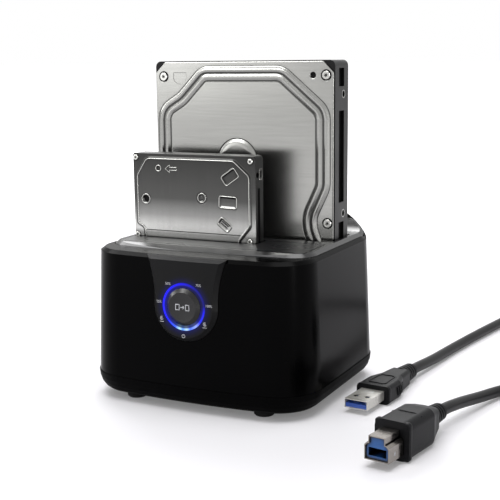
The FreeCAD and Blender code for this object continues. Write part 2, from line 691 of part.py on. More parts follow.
def base_tray():
    """The matte tray under the skirt, with a locating lip, bosses, board posts and vents."""
    def sections(wall, floor_z, tuck):
        wires = []
        for step in range(BASE_STEPS + 1):
            turn = step / BASE_STEPS * math.pi / 2
            z = floor_z + (SEAM_Z - floor_z) * (1 - math.cos(turn))
            inset = wall + tuck * (1 - math.sin(turn)) - BASE_PROUD
            wires.append(body_outline(SEAM_Z, inset, z))
        return Part.makeLoft(wires, True, True)

    tray = sections(0, BASE_BOTTOM_Z, BASE_TUCK)
    tray = tray.cut(sections(BASE_WALL + BASE_PROUD, BASE_FLOOR_Z, BASE_TUCK))
    inner = SHELL_WALL + GAP + SEAM_LIP_WALL
    tray = tray.fuse(band(BASE_WALL / 2, inner, SEAM_Z - BASE_WALL, SEAM_Z))
    tray = tray.fuse(band(SHELL_WALL + GAP, inner, SEAM_Z, SEAM_Z + SEAM_LIP))
    half = PORT_PLATE_X / 2
    tray = tray.cut(box(-half, half, BOARD_HALF_Y, FAR, SEAM_Z, FAR))
    for x, y in POSTS:
        tray = tray.fuse(rod(BOSS_R, V(x, y, BASE_FLOOR_Z), BOSS_TOP - BASE_FLOOR_Z))
    for x, y in BOARD_POSTS:
        tray = tray.fuse(rod(POST_R, V(x, y, BASE_FLOOR_Z), BOARD_Z - BASE_FLOOR_Z))
    for x, y in POSTS:
        tray = tray.cut(rod(FOOT_R + PIN_GAP, V(x, y, 0), BASE_BOTTOM_Z + FOOT_RECESS))
        head_top = BASE_BOTTOM_Z + FOOT_RECESS + SCREW_HEAD_H + PIN_GAP
        tray = tray.cut(rod(SCREW_HEAD_R + PIN_GAP, V(x, y, 0), head_top))
        tray = tray.cut(rod(SCREW_R + PIN_GAP, V(x, y, 0), FAR))
    for x, y in BOARD_POSTS:
        tray = tray.cut(rod(SCREW_R + PIN_GAP, V(x, y, BOARD_Z - BOARD_SCREW_LENGTH), FAR))
    for i in range(VENTS):
        x = (i - (VENTS - 1) / 2) * VENT_PITCH
        tray = tray.cut(rounded_block(x - VENT_X / 2, x + VENT_X / 2, -VENT_Y / 2, VENT_Y / 2,
                                      0, BASE_FLOOR_Z + 1, VENT_X / 2 - 0.01))
    return tray.removeSplitter()


def rubber_feet():
    """Four round feet seated in the tray's recesses."""
    feet = []
    for x, y in POSTS:
        foot = rod(FOOT_R, V(x, y, 0), BASE_BOTTOM_Z + FOOT_RECESS)
        low = [e for e in foot.Edges if e.BoundBox.ZMax < 0.01]
        feet.append(foot.makeChamfer(FOOT_CHAMFER, low))
    return group(feet)


def cross_screw(x, y, z, head_r, head_h, shank_r, length, up=1):
    """A pan-head screw with a cross recess, its head under (up=1) or over (up=-1) the seat."""
    screw = rod(head_r, V(0, 0, -head_h), head_h)
    screw = screw.makeFillet(head_h * 0.6, [e for e in screw.Edges if e.BoundBox.ZMax < -head_h + 0.01])
    for turn in (0, 90):
        bar = box(-head_r * 0.6, head_r * 0.6, -head_r * 0.13, head_r * 0.13, -head_h, -head_h * 0.5)
        bar.rotate(V(0, 0, 0), V(0, 0, 1), turn)
        screw = screw.cut(bar)
    screw = screw.fuse(rod(shank_r, V(0, 0, 0), length))
    if up < 0:
        screw.rotate(V(0, 0, 0), V(1, 0, 0), 180)
    screw.translate(V(x, y, z))
    return screw


def base_screws():
    """Four screws up through the tray into the skirt's posts, hidden by the feet."""
    seat = BASE_BOTTOM_Z + FOOT_RECESS + SCREW_HEAD_H
    return group([cross_screw(x, y, seat, SCREW_HEAD_R, SCREW_HEAD_H, SCREW_R, SCREW_LENGTH)
                  for x, y in POSTS])


# ---------------------------------------------------------------- boards and sockets

def main_board():
    """The circuit board on the tray's posts, cut away round the skirt's posts."""
    half_y = BOARD_HALF_Y
    board = rounded_block(-BOARD_HALF_X, BOARD_HALF_X, -half_y, half_y, BOARD_Z, BOARD_TOP, BOARD_CORNER)
    for x, y in POSTS:
        inner_x = abs(x) - BOSS_R - GAP
        low, high = sorted((math.copysign(inner_x, x), math.copysign(FAR, x)))
        near, far = sorted((math.copysign(abs(y) - BOSS_R - GAP, y), math.copysign(FAR, y)))
        board = board.cut(box(low, high, near, far, 0, FAR))
    for x, y in BOARD_POSTS:
        board = board.cut(rod(SCREW_R + PIN_GAP, V(x, y, 0), FAR))
    return board


def board_screws():
    """Screws that hold the board down on the tray's posts."""
    return group([cross_screw(x, y, BOARD_TOP, SCREW_HEAD_R, SCREW_HEAD_H, SCREW_R,
                              BOARD_SCREW_LENGTH, -1) for x, y in BOARD_POSTS])


def board_components():
    """The bridge chip, memory, coil, capacitors and crystal on the board."""
    chips = [box(x - sx / 2, x + sx / 2, y - sy / 2, y + sy / 2, BOARD_TOP, BOARD_TOP + h)
             for x, y, sx, sy, h in CHIPS]
    cans = [rod(r, V(x, y, BOARD_TOP), h) for x, y, r, h in CANS]
    return group(chips + cans)


def socket_block(back_y, grow, z0, z1):
    """The block that a drive socket takes up, measured from the drive's board face."""
    middle_y = back_y - SOCKET_BACK
    half_x, half_y = SOCKET_X / 2 + grow, SOCKET_Y / 2 + grow
    return box(SOCKET_CENTRE_X - half_x, SOCKET_CENTRE_X + half_x,
               middle_y - half_y, middle_y + half_y, z0, z1)


def tongue_blocks(back_y, grow, z0, z1):
    """The drive connector's two blades, signal and power."""
    middle_y = back_y - SOCKET_BACK
    left = SOCKET_CENTRE_X - TONGUE_X / 2
    split = left + TONGUE_SIGNAL_X
    half = TONGUE_Y / 2 + grow
    return [box(left - grow, split + grow, middle_y - half, middle_y + half, z0, z1),
            box(split + TONGUE_SPLIT - grow, left + TONGUE_X + grow, middle_y - half, middle_y + half,
                z0, z1)]


def sata_socket(back_y, seat_z):
    """A 22-way upright socket: a slotted housing that reaches into the drive's connector."""
    top = seat_z + SOCKET_ENTRY
    socket = socket_block(back_y, 0, BOARD_TOP, top)
    socket = socket.makeChamfer(SOCKET_LEAD, [e for e in socket.Edges if e.BoundBox.ZMin > top - 0.01])
    for blade in tongue_blocks(back_y, TONGUE_GAP, seat_z - TONGUE_GAP, FAR):
        socket = socket.cut(blade)
    return socket


def usb_b_block(grow, y0, y1):
    """The outline of the USB socket's shell, with its two sloping upper corners."""
    half_x, half_z = USB_PORT_X / 2 + grow, USB_PORT_Z / 2 + grow
    corner = USB_CORNER
    points = [(-half_x, -half_z), (half_x, -half_z), (half_x, half_z - corner),
              (half_x - corner, half_z), (-half_x + corner, half_z), (-half_x, half_z - corner)]
    wire = Part.makePolygon([V(USB_X + x, y0, PORT_Z + z) for x, z in points + points[:1]])
    return Part.Face(wire).extrude(V(0, y1 - y0, 0))


def usb_b_port():
    """The metal shell of the upstream USB socket, soldered to the board's rear edge."""
    rear = REAR_FACE_Y
    shell = usb_b_block(0, rear - USB_PORT_Y, rear)
    return shell.cut(usb_b_block(-USB_SHELL, rear - USB_PORT_Y + USB_SHELL, FAR))


def usb_b_core():
    """The insulator inside the USB socket, with its contact tongue."""
    rear = REAR_FACE_Y
    back = rear - USB_PORT_Y + USB_SHELL
    block = usb_b_block(-USB_SHELL - PIN_GAP, back, back + USB_CORE_BACK)
    tongue = box(USB_X - USB_TONGUE_X / 2, USB_X + USB_TONGUE_X / 2, back, rear - USB_TONGUE_IN,
                 PORT_Z - USB_TONGUE_Z / 2, PORT_Z + USB_TONGUE_Z / 2)
    upper = box(USB_X - USB_UPPER_X / 2, USB_X + USB_UPPER_X / 2, back, rear - USB_TONGUE_IN,
                PORT_Z + USB_UPPER_UP, PORT_Z + USB_UPPER_UP + USB_UPPER_Z)
    return joined([block, tongue, upper])


def dc_jack():
    """The round-nosed power inlet on the board's rear edge."""
    rear = REAR_FACE_Y
    body = box(JACK_X - JACK_HALF_X, JACK_X + JACK_HALF_X, rear - JACK_Y, rear - JACK_NOSE,
               BOARD_TOP, PORT_Z + JACK_HALF_X)
    nose = rod(JACK_R, V(JACK_X, rear - JACK_NOSE, PORT_Z), JACK_NOSE, V(0, 1, 0))
    bore = rod(JACK_BORE_R, V(JACK_X, rear - JACK_DEPTH, PORT_Z), JACK_DEPTH, V(0, 1, 0))
    seat = rod(JACK_PIN_R, V(JACK_X, rear - JACK_Y, PORT_Z), JACK_Y, V(0, 1, 0))
    return body.fuse(nose).cut(bore).cut(seat)


def dc_jack_pin():
    """The inlet's centre contact."""
    length = JACK_Y - JACK_PIN_IN
    pin = rod(JACK_PIN_R, V(JACK_X, REAR_FACE_Y - JACK_Y, PORT_Z), length, V(0, 1, 0))
    tip = [e for e in pin.Edges if e.BoundBox.YMin > REAR_FACE_Y - JACK_PIN_IN - 0.01]
    return pin.makeFillet(JACK_PIN_R * 0.6, tip)


def switch_block(grow, y0, y1):
    """The block that the switch fills behind its bezel, grown by a clearance."""
    half_x, half_z = SWITCH_HALF_X + grow, SWITCH_HALF_Z + grow
    return box(SWITCH_X - half_x, SWITCH_X + half_x, y0, y1, SWITCH_Z - half_z, SWITCH_Z + half_z)


def switch_frame():
    """The power switch's housing and bezel, snapped in from the rear."""
    rear = REAR_FACE_Y
    seat = rear + SWITCH_SEAT
    bezel = switch_block(SWITCH_BEZEL, seat, seat + SWITCH_LIP)
    outer = [e for e in bezel.Edges if e.BoundBox.YMin > seat + SWITCH_LIP - 0.01]
    bezel = bezel.makeChamfer(SWITCH_LIP * 0.6, outer)
    frame = bezel.fuse(switch_block(0, rear - SWITCH_Y, seat + SWITCH_LIP))
    frame = frame.cut(switch_block(-SWITCH_WALL, rear - SWITCH_Y + SWITCH_WALL, FAR))
    return frame.cut(rod(SWITCH_PIN_R + PIN_GAP, V(SWITCH_X, SWITCH_PIN_Y, SWITCH_Z - SWITCH_HALF_Z),
                         2 * SWITCH_HALF_Z))


def power_rocker():
    """The rocker, at rest with its left end pressed; it turns about an upright pin."""
    half_x = SWITCH_HALF_X - SWITCH_WALL - ROCKER_GAP
    half_z = SWITCH_HALF_Z - SWITCH_WALL - GAP
    z0 = SWITCH_Z - half_z
    front, back = SWITCH_PIN_Y + ROCKER_RISE, SWITCH_PIN_Y - ROCKER_DROP
    points = [V(-half_x, front + ROCKER_PEAK, 0), V(0, front, 0), V(half_x, front + ROCKER_PEAK, 0),
              V(half_x, SWITCH_PIN_Y, 0), V(ROCKER_KEEL, back, 0), V(-ROCKER_KEEL, back, 0),
              V(-half_x, SWITCH_PIN_Y, 0)]
    face = Part.Face(Part.makePolygon(points + points[:1]))
    rocker = face.extrude(V(0, 0, 2 * half_z))
    rocker.translate(V(SWITCH_X, 0, z0))
    pin = rod(SWITCH_PIN_R, V(SWITCH_X, SWITCH_PIN_Y, z0 - SWITCH_PIN_END), 2 * (half_z + SWITCH_PIN_END))
    rocker = rocker.fuse(pin)
    rocker.rotate(V(SWITCH_X, SWITCH_PIN_Y, 0), V(0, 0, 1), ROCKER_TILT)
    return rocker


# ---------------------------------------------------------------- button and its light

def light_ring():
    """The clear ring round the button, with a skirt that reaches back to the lights."""
    front_y = FACE_Y + RING_SINK
    body = ring(RING_R, BUTTON_R + RING_BORE, V(0, front_y, RING_Z), RING_BACK_Y - front_y, V(0, 1, 0))
    flange = ring(RING_R + RING_FLANGE, BUTTON_R + RING_BORE, V(0, PANEL_BACK_Y + RING_BEHIND, RING_Z),
                  RING_FLANGE_THICK, V(0, 1, 0))
    return joined([body, flange])


def clone_button():
    """The push button: a bevelled cap with a shallow dish, a keeper disc and a stem."""
    proud_y = FACE_Y - BUTTON_PROUD
    cap_end = LIP_Y + BUTTON_LIP_THICK
    corners = [V(BUTTON_FACE_R, proud_y, 0), V(BUTTON_R, FACE_Y + BUTTON_SINK, 0),
               V(BUTTON_R, LIP_Y, 0), V(BUTTON_R + BUTTON_LIP, LIP_Y, 0),
               V(BUTTON_R + BUTTON_LIP, cap_end, 0), V(0, cap_end, 0),
               V(0, proud_y + BUTTON_DISH, 0)]
    dish = V(BUTTON_FACE_R / 2, proud_y + BUTTON_DISH * 0.75, 0)
    edges = [Part.Arc(corners[-1], dish, corners[0]).toShape()]
    edges += [line(start, end) for start, end in zip(corners[:-1], corners[1:])]
    button = Part.Face(Part.Wire(edges)).revolve(V(0, 0, 0), V(0, 1, 0), 360)
    button.translate(V(0, 0, RING_Z))
    return button


def tact_plunger():
    """The switch's plunger, pushed by the button."""
    start = LIP_Y + BUTTON_LIP_THICK
    length = LED_BOARD_Y - TACT_Y + TACT_IN - start
    return rod(TACT_PLUNGER_R, V(0, start, RING_Z), length, V(0, 1, 0))


def tact_switch():
    """The small push switch on the light board."""
    half = TACT_HALF
    body = box(-half, half, LED_BOARD_Y - TACT_Y, LED_BOARD_Y, RING_Z - half, RING_Z + half)
    mouth = V(0, LED_BOARD_Y - TACT_Y, RING_Z)
    bore_length = TACT_IN + BUTTON_TRAVEL + GAP
    return body.cut(rod(TACT_PLUNGER_R + PIN_GAP, mouth, bore_length, V(0, 1, 0)))


def led_board():
    """The upright board behind the panel, on the panel's four posts."""
    board = box(-LED_BOARD_X, LED_BOARD_X, LED_BOARD_Y, LED_BOARD_Y + LED_BOARD_THICK,
                RING_Z - LED_BOARD_DOWN, RING_Z + LED_BOARD_UP)
    for x, z in PANEL_POSTS:
        board = board.cut(rod(SCREW_R + PIN_GAP, V(x, LED_BOARD_Y, z), LED_BOARD_THICK, V(0, 1, 0)))
    return board


def leds():
    """Lights in a circle on the board, behind the ring."""
    lights = []
    for i in range(LED_COUNT):
        turn = math.radians(i * 360 / LED_COUNT + 90)
        x, z = LED_CIRCLE_R * math.cos(turn), RING_Z + LED_CIRCLE_R * math.sin(turn)
        half = LED_SIZE / 2
        lights.append(box(x - half, x + half, LED_BOARD_Y - LED_TALL, LED_BOARD_Y, z - half, z + half))
    return group(lights)


def led_board_screws():
    """Screws through the light board into the panel's posts."""
    screws = []
    for x, z in PANEL_POSTS:
        screw = cross_screw(0, 0, 0, SCREW_HEAD_R, SCREW_HEAD_H, SCREW_R, LED_SCREW_LENGTH)
        screw.rotate(V(0, 0, 0), V(1, 0, 0), 90)
        screw.translate(V(x, LED_BOARD_Y + LED_BOARD_THICK, z))
        screws.append(screw)
    return group(screws)


# ---------------------------------------------------------------- flaps

def flap(bay_y, notch_x=None, notch_y=None):
    """A spring-loaded flap, closed: a plate on a barrel that runs on a steel pin."""
    hinge_y = bay_y + FLAP_PIN_IN
    half = BAY_HALF_X - FLAP_GAP
    plate = box(-half, half, bay_y + FLAP_GAP, bay_y + BAY_Y - FLAP_GAP, DECK_Z - FLAP_THICK, DECK_Z)
    barrel = rod(FLAP_BARREL_R, V(-half, hinge_y, FLAP_Z), 2 * half, V(1, 0, 0))
    shape = plate.fuse(barrel)
    for i in range(FLAP_RIBS):
        x = -half + (i + 0.5) * 2 * half / FLAP_RIBS
        rib = box(x - RIB_HALF, x + RIB_HALF, hinge_y, bay_y + BAY_Y - FLAP_RIB_END,
                  DECK_Z - FLAP_THICK - FLAP_RIB, DECK_Z - FLAP_THICK)
        shape = shape.fuse(rib)
    if notch_x is not None:
        shape = shape.cut(box(-FAR, notch_x, notch_y, FAR, 0, FAR))
    shape = shape.cut(box(-SPRING_HALF, SPRING_HALF, bay_y, hinge_y + FLAP_BARREL_R + GAP, 0,
                          DECK_Z - FLAP_THICK + SPRING_ROOM))
    return shape.cut(rod(FLAP_PIN_R + PIN_GAP, V(-half, hinge_y, FLAP_Z), 2 * half, V(1, 0, 0)))


def front_flap():
    """The front bay's flap, closed round the small drive."""
    return flap(FRONT_BAY_Y, SMALL_LEFT + SMALL_X + DRIVE_NOTCH, SMALL_FRONT_Y - DRIVE_NOTCH)


def rear_flap():
    """The rear bay's flap, pushed down in front of the large drive."""
    shape = flap(REAR_BAY_Y)
    shape.rotate(V(0, REAR_BAY_Y + FLAP_PIN_IN, FLAP_Z), V(1, 0, 0), -90)
    return shape


def flap_pin(bay_y):
    """The steel pin, held at both ends between the well and the deck."""
    half = BAY_HALF_X + WELL_WALL - PIN_GAP
    return rod(FLAP_PIN_R, V(-half, bay_y + FLAP_PIN_IN, FLAP_Z), 2 * half, V(1, 0, 0))


def flap_spring(bay_y):
    """The close-wound torsion spring on the pin, with its fixed leg down the bay's wall."""
    y, turns = bay_y + FLAP_PIN_IN, SPRING_TURNS
    wire_r = (SPRING_HALF - GAP) / turns / 2
    inner = FLAP_PIN_R + PIN_GAP
    first = -SPRING_HALF + GAP
    edges = [line(V(first, y + inner, FLAP_Z), V(first, y + inner + wire_r, FLAP_Z))]
    for i in range(turns * 2):
        x = first + 2 * wire_r * i
        start, end = V(x, y + inner + wire_r, FLAP_Z), V(x + 2 * wire_r, y + inner + wire_r, FLAP_Z)
        edges.append(Part.Arc(start, V(x + wire_r, y + inner + 2 * wire_r, FLAP_Z), end).toShape())
    last = first + 4 * wire_r * turns
    edges.append(line(V(last, y + inner + wire_r, FLAP_Z), V(last, y + inner, FLAP_Z)))
    edges.append(line(V(last, y + inner, FLAP_Z), V(first, y + inner, FLAP_Z)))
    coil = Part.Face(Part.Wire(edges)).revolve(V(0, y, FLAP_Z), V(1, 0, 0), 360)
    leg = rod(wire_r * 0.8, V(first + wire_r, y - inner - wire_r, FLAP_Z - SPRING_LEG), SPRING_LEG)
    return joined([coil, leg])


# ---------------------------------------------------------------- drives

def upright_face(y):
    """Places outline points of a drive's cover in a plane that faces the front."""
    return lambda x, z: V(x, y, z)


def raised_area(wire, height, bevel):
    """A pressed area of a cover with bevelled sides, raised towards the front."""
    area = Part.Face(wire).extrude(V(0, -height, 0))
    front = wire.BoundBox.YMin - height
    rim = [e for e in area.Edges if e.BoundBox.YMax < front + 0.01]
    return area.makeChamfer(bevel, rim)


def connector_housing(back_y, seat_z):
    """The connector in a drive's lower edge: a shroud with two contact blades."""
    outer = socket_block(back_y, CONNECTOR_WALL + GAP, seat_z, seat_z + CONNECTOR_DEPTH + CONNECTOR_WALL)
    outer = outer.cut(socket_block(back_y, GAP, 0, seat_z + CONNECTOR_DEPTH))
    blades = tongue_blocks(back_y, 0, seat_z + TONGUE_IN, seat_z + CONNECTOR_DEPTH)
    return joined([outer] + blades)


def connector_space(back_y, seat_z):
    """The room cut in a drive for its connector, open to the board side."""
    grow = CONNECTOR_WALL + GAP + PIN_GAP
    block = socket_block(back_y, grow, 0, seat_z + CONNECTOR_DEPTH + CONNECTOR_WALL + PIN_GAP)
    bounds = block.BoundBox
    return box(bounds.XMin, bounds.XMax, bounds.YMin, FAR, 0, bounds.ZMax)


def drive_case(left, width, front_y, back_y, seat_z, length, corner_r, steps, holes, board):
    """A drive's cast body: stepped sides, tapped side holes and a pocket for the board."""
    right, top = left + width, seat_z + length
    case = box(left, right, front_y, back_y, seat_z, top)
    upright = [e for e in case.Edges if abs(e.tangentAt(e.FirstParameter).y) > 0.99]
    case = case.makeFillet(corner_r, upright)
    for z0, z1, depth, near, far in steps:
        y0, y1 = front_y + near, front_y + far
        case = case.cut(box(left - 1, left + depth, y0, y1, seat_z + z0, seat_z + z1))
        case = case.cut(box(right - depth, right + 1, y0, y1, seat_z + z0, seat_z + z1))
    for up in holes:
        for start, inward in ((left, 1), (right, -1)):
            case = case.cut(rod(SIDE_HOLE_R, V(start, back_y - SIDE_HOLE_IN, seat_z + up),
                                SIDE_HOLE_DEPTH, V(inward, 0, 0)))
    margin, tall, pocket = board
    case = case.cut(box(left + margin - GAP, right - margin + GAP, back_y - pocket, FAR,
                        0, seat_z + tall + GAP))
    return case.cut(connector_space(back_y, seat_z))


def drive_board(left, width, back_y, seat_z, board):
    """A drive's circuit board, in the pocket of its body."""
    margin, tall, pocket = board
    plate = box(left + margin, left + width - margin, back_y - DRIVE_BOARD_THICK, back_y,
                seat_z, seat_z + tall)
    return plate.cut(connector_space(back_y, seat_z))


def tapped(case, screws, y):
    """The case with its holes for the cover screws."""
    for x, z in screws:
        case = case.cut(rod(COVER_SCREW_R + PIN_GAP, V(x, y, z), COVER_SCREW_DEEP, V(0, 1, 0)))
    return case


def cover_screws(screws, y, head_r):
    """Star-drive screws with low heads that hold a cover down."""
    made = []
    for x, z in screws:
        face_y = y - COVER_HEAD_H
        head = rod(head_r, V(x, face_y, z), COVER_HEAD_H, V(0, 1, 0))
        rim = [e for e in head.Edges if e.BoundBox.YMax < face_y + 0.01]
        head = head.makeChamfer(COVER_HEAD_H * 0.4, rim)
        recess = rod(head_r * 0.45, V(x, face_y, z), COVER_HEAD_H * 0.6, V(0, 1, 0))
        shank = rod(COVER_SCREW_R, V(x, y, z), COVER_SCREW_LONG, V(0, 1, 0))
        made.append(head.cut(recess).fuse(shank))
    return group(made)


def cover_plate(left, width, seat_z, length, y, thick, margin, corner):
    """A cover's flat plate, with its upper corners cut off."""
    x0, x1 = left + margin, left + width - margin
    low, top = seat_z + COVER_UP, seat_z + length - margin
    outer = [(x0, low, 1), (x0, top - corner, 1), (x0 + corner, top, 1),
             (x1 - corner, top, 1), (x1, top - corner, 1), (x1, low, 1)]
    return Part.Face(rounded_polygon(outer, upright_face(y))).extrude(V(0, -thick, 0))


def hdd_case():
    """The large drive's alloy casting, tapped for its cover screws."""
    case = drive_case(BIG_LEFT, BIG_X, BIG_COVER_Y, BIG_BACK_Y, BIG_SEAT_Z, BIG_Z, BIG_CORNER_R,
                      BIG_STEPS, BIG_SIDE_HOLES, BIG_BOARD)
    return tapped(case, BIG_SCREWS, BIG_COVER_Y)


def hdd_cover():
    """The large drive's steel cover: a plate, a pressed double contour and a spindle boss."""
    plate = cover_plate(BIG_LEFT, BIG_X, BIG_SEAT_Z, BIG_Z, BIG_COVER_Y, BIG_COVER, COVER_MARGIN,
                        BIG_COVER_CORNER)
    y = BIG_COVER_Y - BIG_COVER
    contour = rounded_polygon(BIG_CONTOUR, upright_face(y))
    plate = plate.fuse(raised_area(contour, BIG_RIDGE, BIG_RIDGE_BEVEL))
    ridge_y = y - BIG_RIDGE
    rim = rounded_polygon(BIG_CONTOUR, upright_face(ridge_y))
    outer, inner, depth = BIG_GROOVE
    groove = Part.Face(rim.makeOffset2D(-outer)).extrude(V(0, depth, 0))
    groove = groove.cut(Part.Face(rim.makeOffset2D(-inner)).extrude(V(0, depth, 0)))
    sink = Part.Face(rim.makeOffset2D(-BIG_BEAD)).extrude(V(0, BIG_SINK, 0))
    plate = plate.cut(groove).cut(sink)
    hub = rod(BIG_BOSS_R, V(BIG_BOSS_X, BIG_FRONT_Y, BIG_BOSS_Z), y - BIG_FRONT_Y, V(0, 1, 0))
    edge = [e for e in hub.Edges if e.BoundBox.YMax < BIG_FRONT_Y + 0.01]
    plate = plate.fuse(hub.makeChamfer(BIG_SINK_BEVEL, edge))
    for x, z in BIG_SCREWS:
        plate = plate.cut(rod(COVER_SCREW_R + PIN_GAP, V(x, 0, z), FAR, V(0, 1, 0)))
    return plate.cut(rod(BIG_HOLE_R, V(BIG_HOLE_X, 0, BIG_HOLE_Z), FAR, V(0, 1, 0))).removeSplitter()


def small_case():
    """The small drive's alloy case, tapped for its cover screws."""
    case = drive_case(SMALL_LEFT, SMALL_X, SMALL_COVER_Y, SMALL_BACK_Y, SMALL_SEAT_Z, SMALL_Z,
                      SMALL_CORNER_R, SMALL_STEPS, SMALL_SIDE_HOLES, SMALL_BOARD)
    return tapped(case, SMALL_SCREWS, SMALL_COVER_Y)


def small_cover():
    """The small drive's cover: a plate with one pressed contour, cut round a screw."""
    plate = cover_plate(SMALL_LEFT, SMALL_X, SMALL_SEAT_Z, SMALL_Z, SMALL_COVER_Y, SMALL_COVER,
                        0, SMALL_COVER_CORNER)
    y = SMALL_COVER_Y - SMALL_COVER
    raised = raised_area(rounded_polygon(SMALL_CONTOUR, upright_face(y)), SMALL_PRESS, SMALL_PRESS * 0.8)
    x, z = SMALL_MIDDLE
    raised = raised.cut(rod(SMALL_SCREW_AREA, V(x, y - SMALL_PRESS, z), SMALL_PRESS, V(0, 1, 0)))
    plate = plate.fuse(raised)
    for x, z in SMALL_SCREWS:
        plate = plate.cut(rod(COVER_SCREW_R + PIN_GAP, V(x, -FAR, z), 2 * FAR, V(0, 1, 0)))
    return plate.removeSplitter()


# ---------------------------------------------------------------- USB cable, lying on the floor

def turned(shape, place, heading):
    """A shape drawn along +X from the origin, laid at a place on the floor."""
    shape.rotate(V(0, 0, 0), V(0, 0, 1), heading)
    shape.translate(V(place[0], place[1], 0))
    return shape


def usb_a_shell():
    """The A plug's steel shell with its two latch windows."""
    z = A_AXIS_Z
    shell = box(-A_SHELL_X, 0, -A_SHELL_Y / 2, A_SHELL_Y / 2, z - A_SHELL_Z / 2, z + A_SHELL_Z / 2)
    inner = box(-A_SHELL_X, A_SHELL_WALL - A_SHELL_BACK, -A_SHELL_Y / 2 + A_SHELL_WALL,
                A_SHELL_Y / 2 - A_SHELL_WALL, z - A_SHELL_Z / 2 + A_SHELL_WALL,
                z + A_SHELL_Z / 2 - A_SHELL_WALL)
    shell = shell.cut(inner)
    for side in (-1, 1):
        y = side * A_WINDOW_Y - A_WINDOW / 2
        x = -A_SHELL_X + A_WINDOW_X
        shell = shell.cut(box(x, x + A_WINDOW, y, y + A_WINDOW, 0, FAR))
    return turned(shell, A_PLACE, A_HEADING)


def usb_a_tongue():
    """The A plug's blue insulator."""
    z = A_AXIS_Z - A_SHELL_Z / 2 + A_SHELL_WALL
    half = A_SHELL_Y / 2 - A_SHELL_WALL
    tongue = box(-A_SHELL_X + A_TONGUE_IN, A_SHELL_WALL - A_SHELL_BACK, -half, half, z, z + A_TONGUE_Z)
    return turned(tongue, A_PLACE, A_HEADING)


def plug_grip(length, sections, axis_z):
    """A moulded grip: rounded sections blended along the plug, from (distance, width, height)."""
    wires = []
    for share, width, height in sections:
        x, radius = share * length, min(width, height) * GRIP_ROUND
        corners = [(-width / 2, axis_z - height / 2, radius), (width / 2, axis_z - height / 2, radius),
                   (width / 2, axis_z + height / 2, radius), (-width / 2, axis_z + height / 2, radius)]
        wires.append(rounded_polygon(corners, lambda y, z, x=x: V(x, y, z)))
    return Part.makeLoft(wires, True, True)


def strain_relief(start, length, axis_z):
    """The ribbed sleeve where the cable leaves its grip."""
    step = length / RELIEF_RIBS
    rings = [rod(CABLE_R + RELIEF_WALL / 2, V(start, 0, axis_z), length, V(1, 0, 0))]
    for i in range(RELIEF_RIBS):
        radius = CABLE_R + RELIEF_WALL * (1 - 0.4 * i / RELIEF_RIBS)
        rings.append(rod(radius, V(start + i * step, 0, axis_z), step * 0.55, V(1, 0, 0)))
    return joined(rings).cut(rod(CABLE_R, V(start + RELIEF_SEAT, 0, axis_z), length, V(1, 0, 0)))


def usb_a_grip():
    """The A plug's tapered grip with its strain relief."""
    grip = plug_grip(A_GRIP_X, A_GRIP, A_AXIS_Z)
    grip = grip.fuse(strain_relief(A_GRIP_X - PIN_GAP, A_RELIEF_X, A_AXIS_Z))
    return turned(grip.removeSplitter(), A_PLACE, A_HEADING)


def usb_b_shape(x0, x1, inset):
    """The B plug's stepped outline, run along the plug."""
    half, low, high = B_SHELL_Y / 2 - inset, -B_SHELL_Z / 2 + inset, B_SHELL_Z / 2 - inset
    step_z, step_y = high - B_STEP_Z, B_STEP_Y / 2 - inset
    points = [(-half, low), (half, low), (half, step_z - B_CORNER), (half - B_CORNER, step_z),
              (step_y, step_z), (step_y, high), (-step_y, high), (-step_y, step_z),
              (-half + B_CORNER, step_z), (-half, step_z - B_CORNER)]
    wire = Part.makePolygon([V(x0, y, B_AXIS_Z + z) for y, z in points + points[:1]])
    return Part.Face(wire).extrude(V(x1 - x0, 0, 0))


def usb_b_shell():
    """The B plug's stepped steel shell."""
    shell = usb_b_shape(-B_SHELL_X, 0, 0).cut(usb_b_shape(-B_SHELL_X, -B_SHELL_WALL, B_SHELL_WALL))
    return turned(shell, B_PLACE, B_HEADING)


def usb_b_insert():
    """The B plug's blue insulator, hollow in the middle for the socket's tongue."""
    insert = usb_b_shape(-B_SHELL_X + B_INSERT_IN, -B_SHELL_WALL, B_SHELL_WALL)
    well_space = box(-B_SHELL_X, -B_SHELL_WALL - B_WELL_BACK, -B_WELL_Y / 2, B_WELL_Y / 2,
                     B_AXIS_Z - B_WELL_DOWN, B_AXIS_Z - B_WELL_DOWN + B_WELL_Z)
    return turned(insert.cut(well_space), B_PLACE, B_HEADING)


def usb_b_grip():
    """The B plug's block-like grip with its strain relief."""
    grip = plug_grip(B_GRIP_X, B_GRIP, B_AXIS_Z)
    grip = grip.fuse(strain_relief(B_GRIP_X - PIN_GAP, B_RELIEF_X, B_AXIS_Z))
    return turned(grip.removeSplitter(), B_PLACE, B_HEADING)


def cable_run(name, route):
    """A stretch of the cable: straight runs joined by tangent arcs. Prints the bend radii."""
    points = [V(*p) for p in route]
    edges, place, radii = [], points[0], []
    for before, here, after in zip(points, points[1:], points[2:]):
        back, ahead = before - here, after - here
        run = min(back.Length, ahead.Length)
        half_turn = (math.pi - back.getAngle(ahead)) / 2
        radius = 0.45 * run / math.tan(half_turn)
        reach = radius * math.tan(half_turn)
        start = here + back.normalize() * reach
        end = here + ahead.normalize() * reach
        towards = (start + end) * 0.5 - here
        middle = here + towards.normalize() * (radius / math.cos(half_turn) - radius)
        edges += [line(place, start), Part.Arc(start, middle, end).toShape()]
        place = end
        radii.append(round(radius, 1))
    edges.append(line(place, points[-1]))
    path = Part.Wire(edges)
    section = Part.Wire(Part.makeCircle(CABLE_R, points[0], points[1] - points[0]))
    tube = path.makePipeShell([section], True, False)
    print(name, "length", round(path.Length, 1), "radii", radii,
          "volume ratio", round(tube.Volume / (math.pi * CABLE_R ** 2 * path.Length), 4))
    return tube


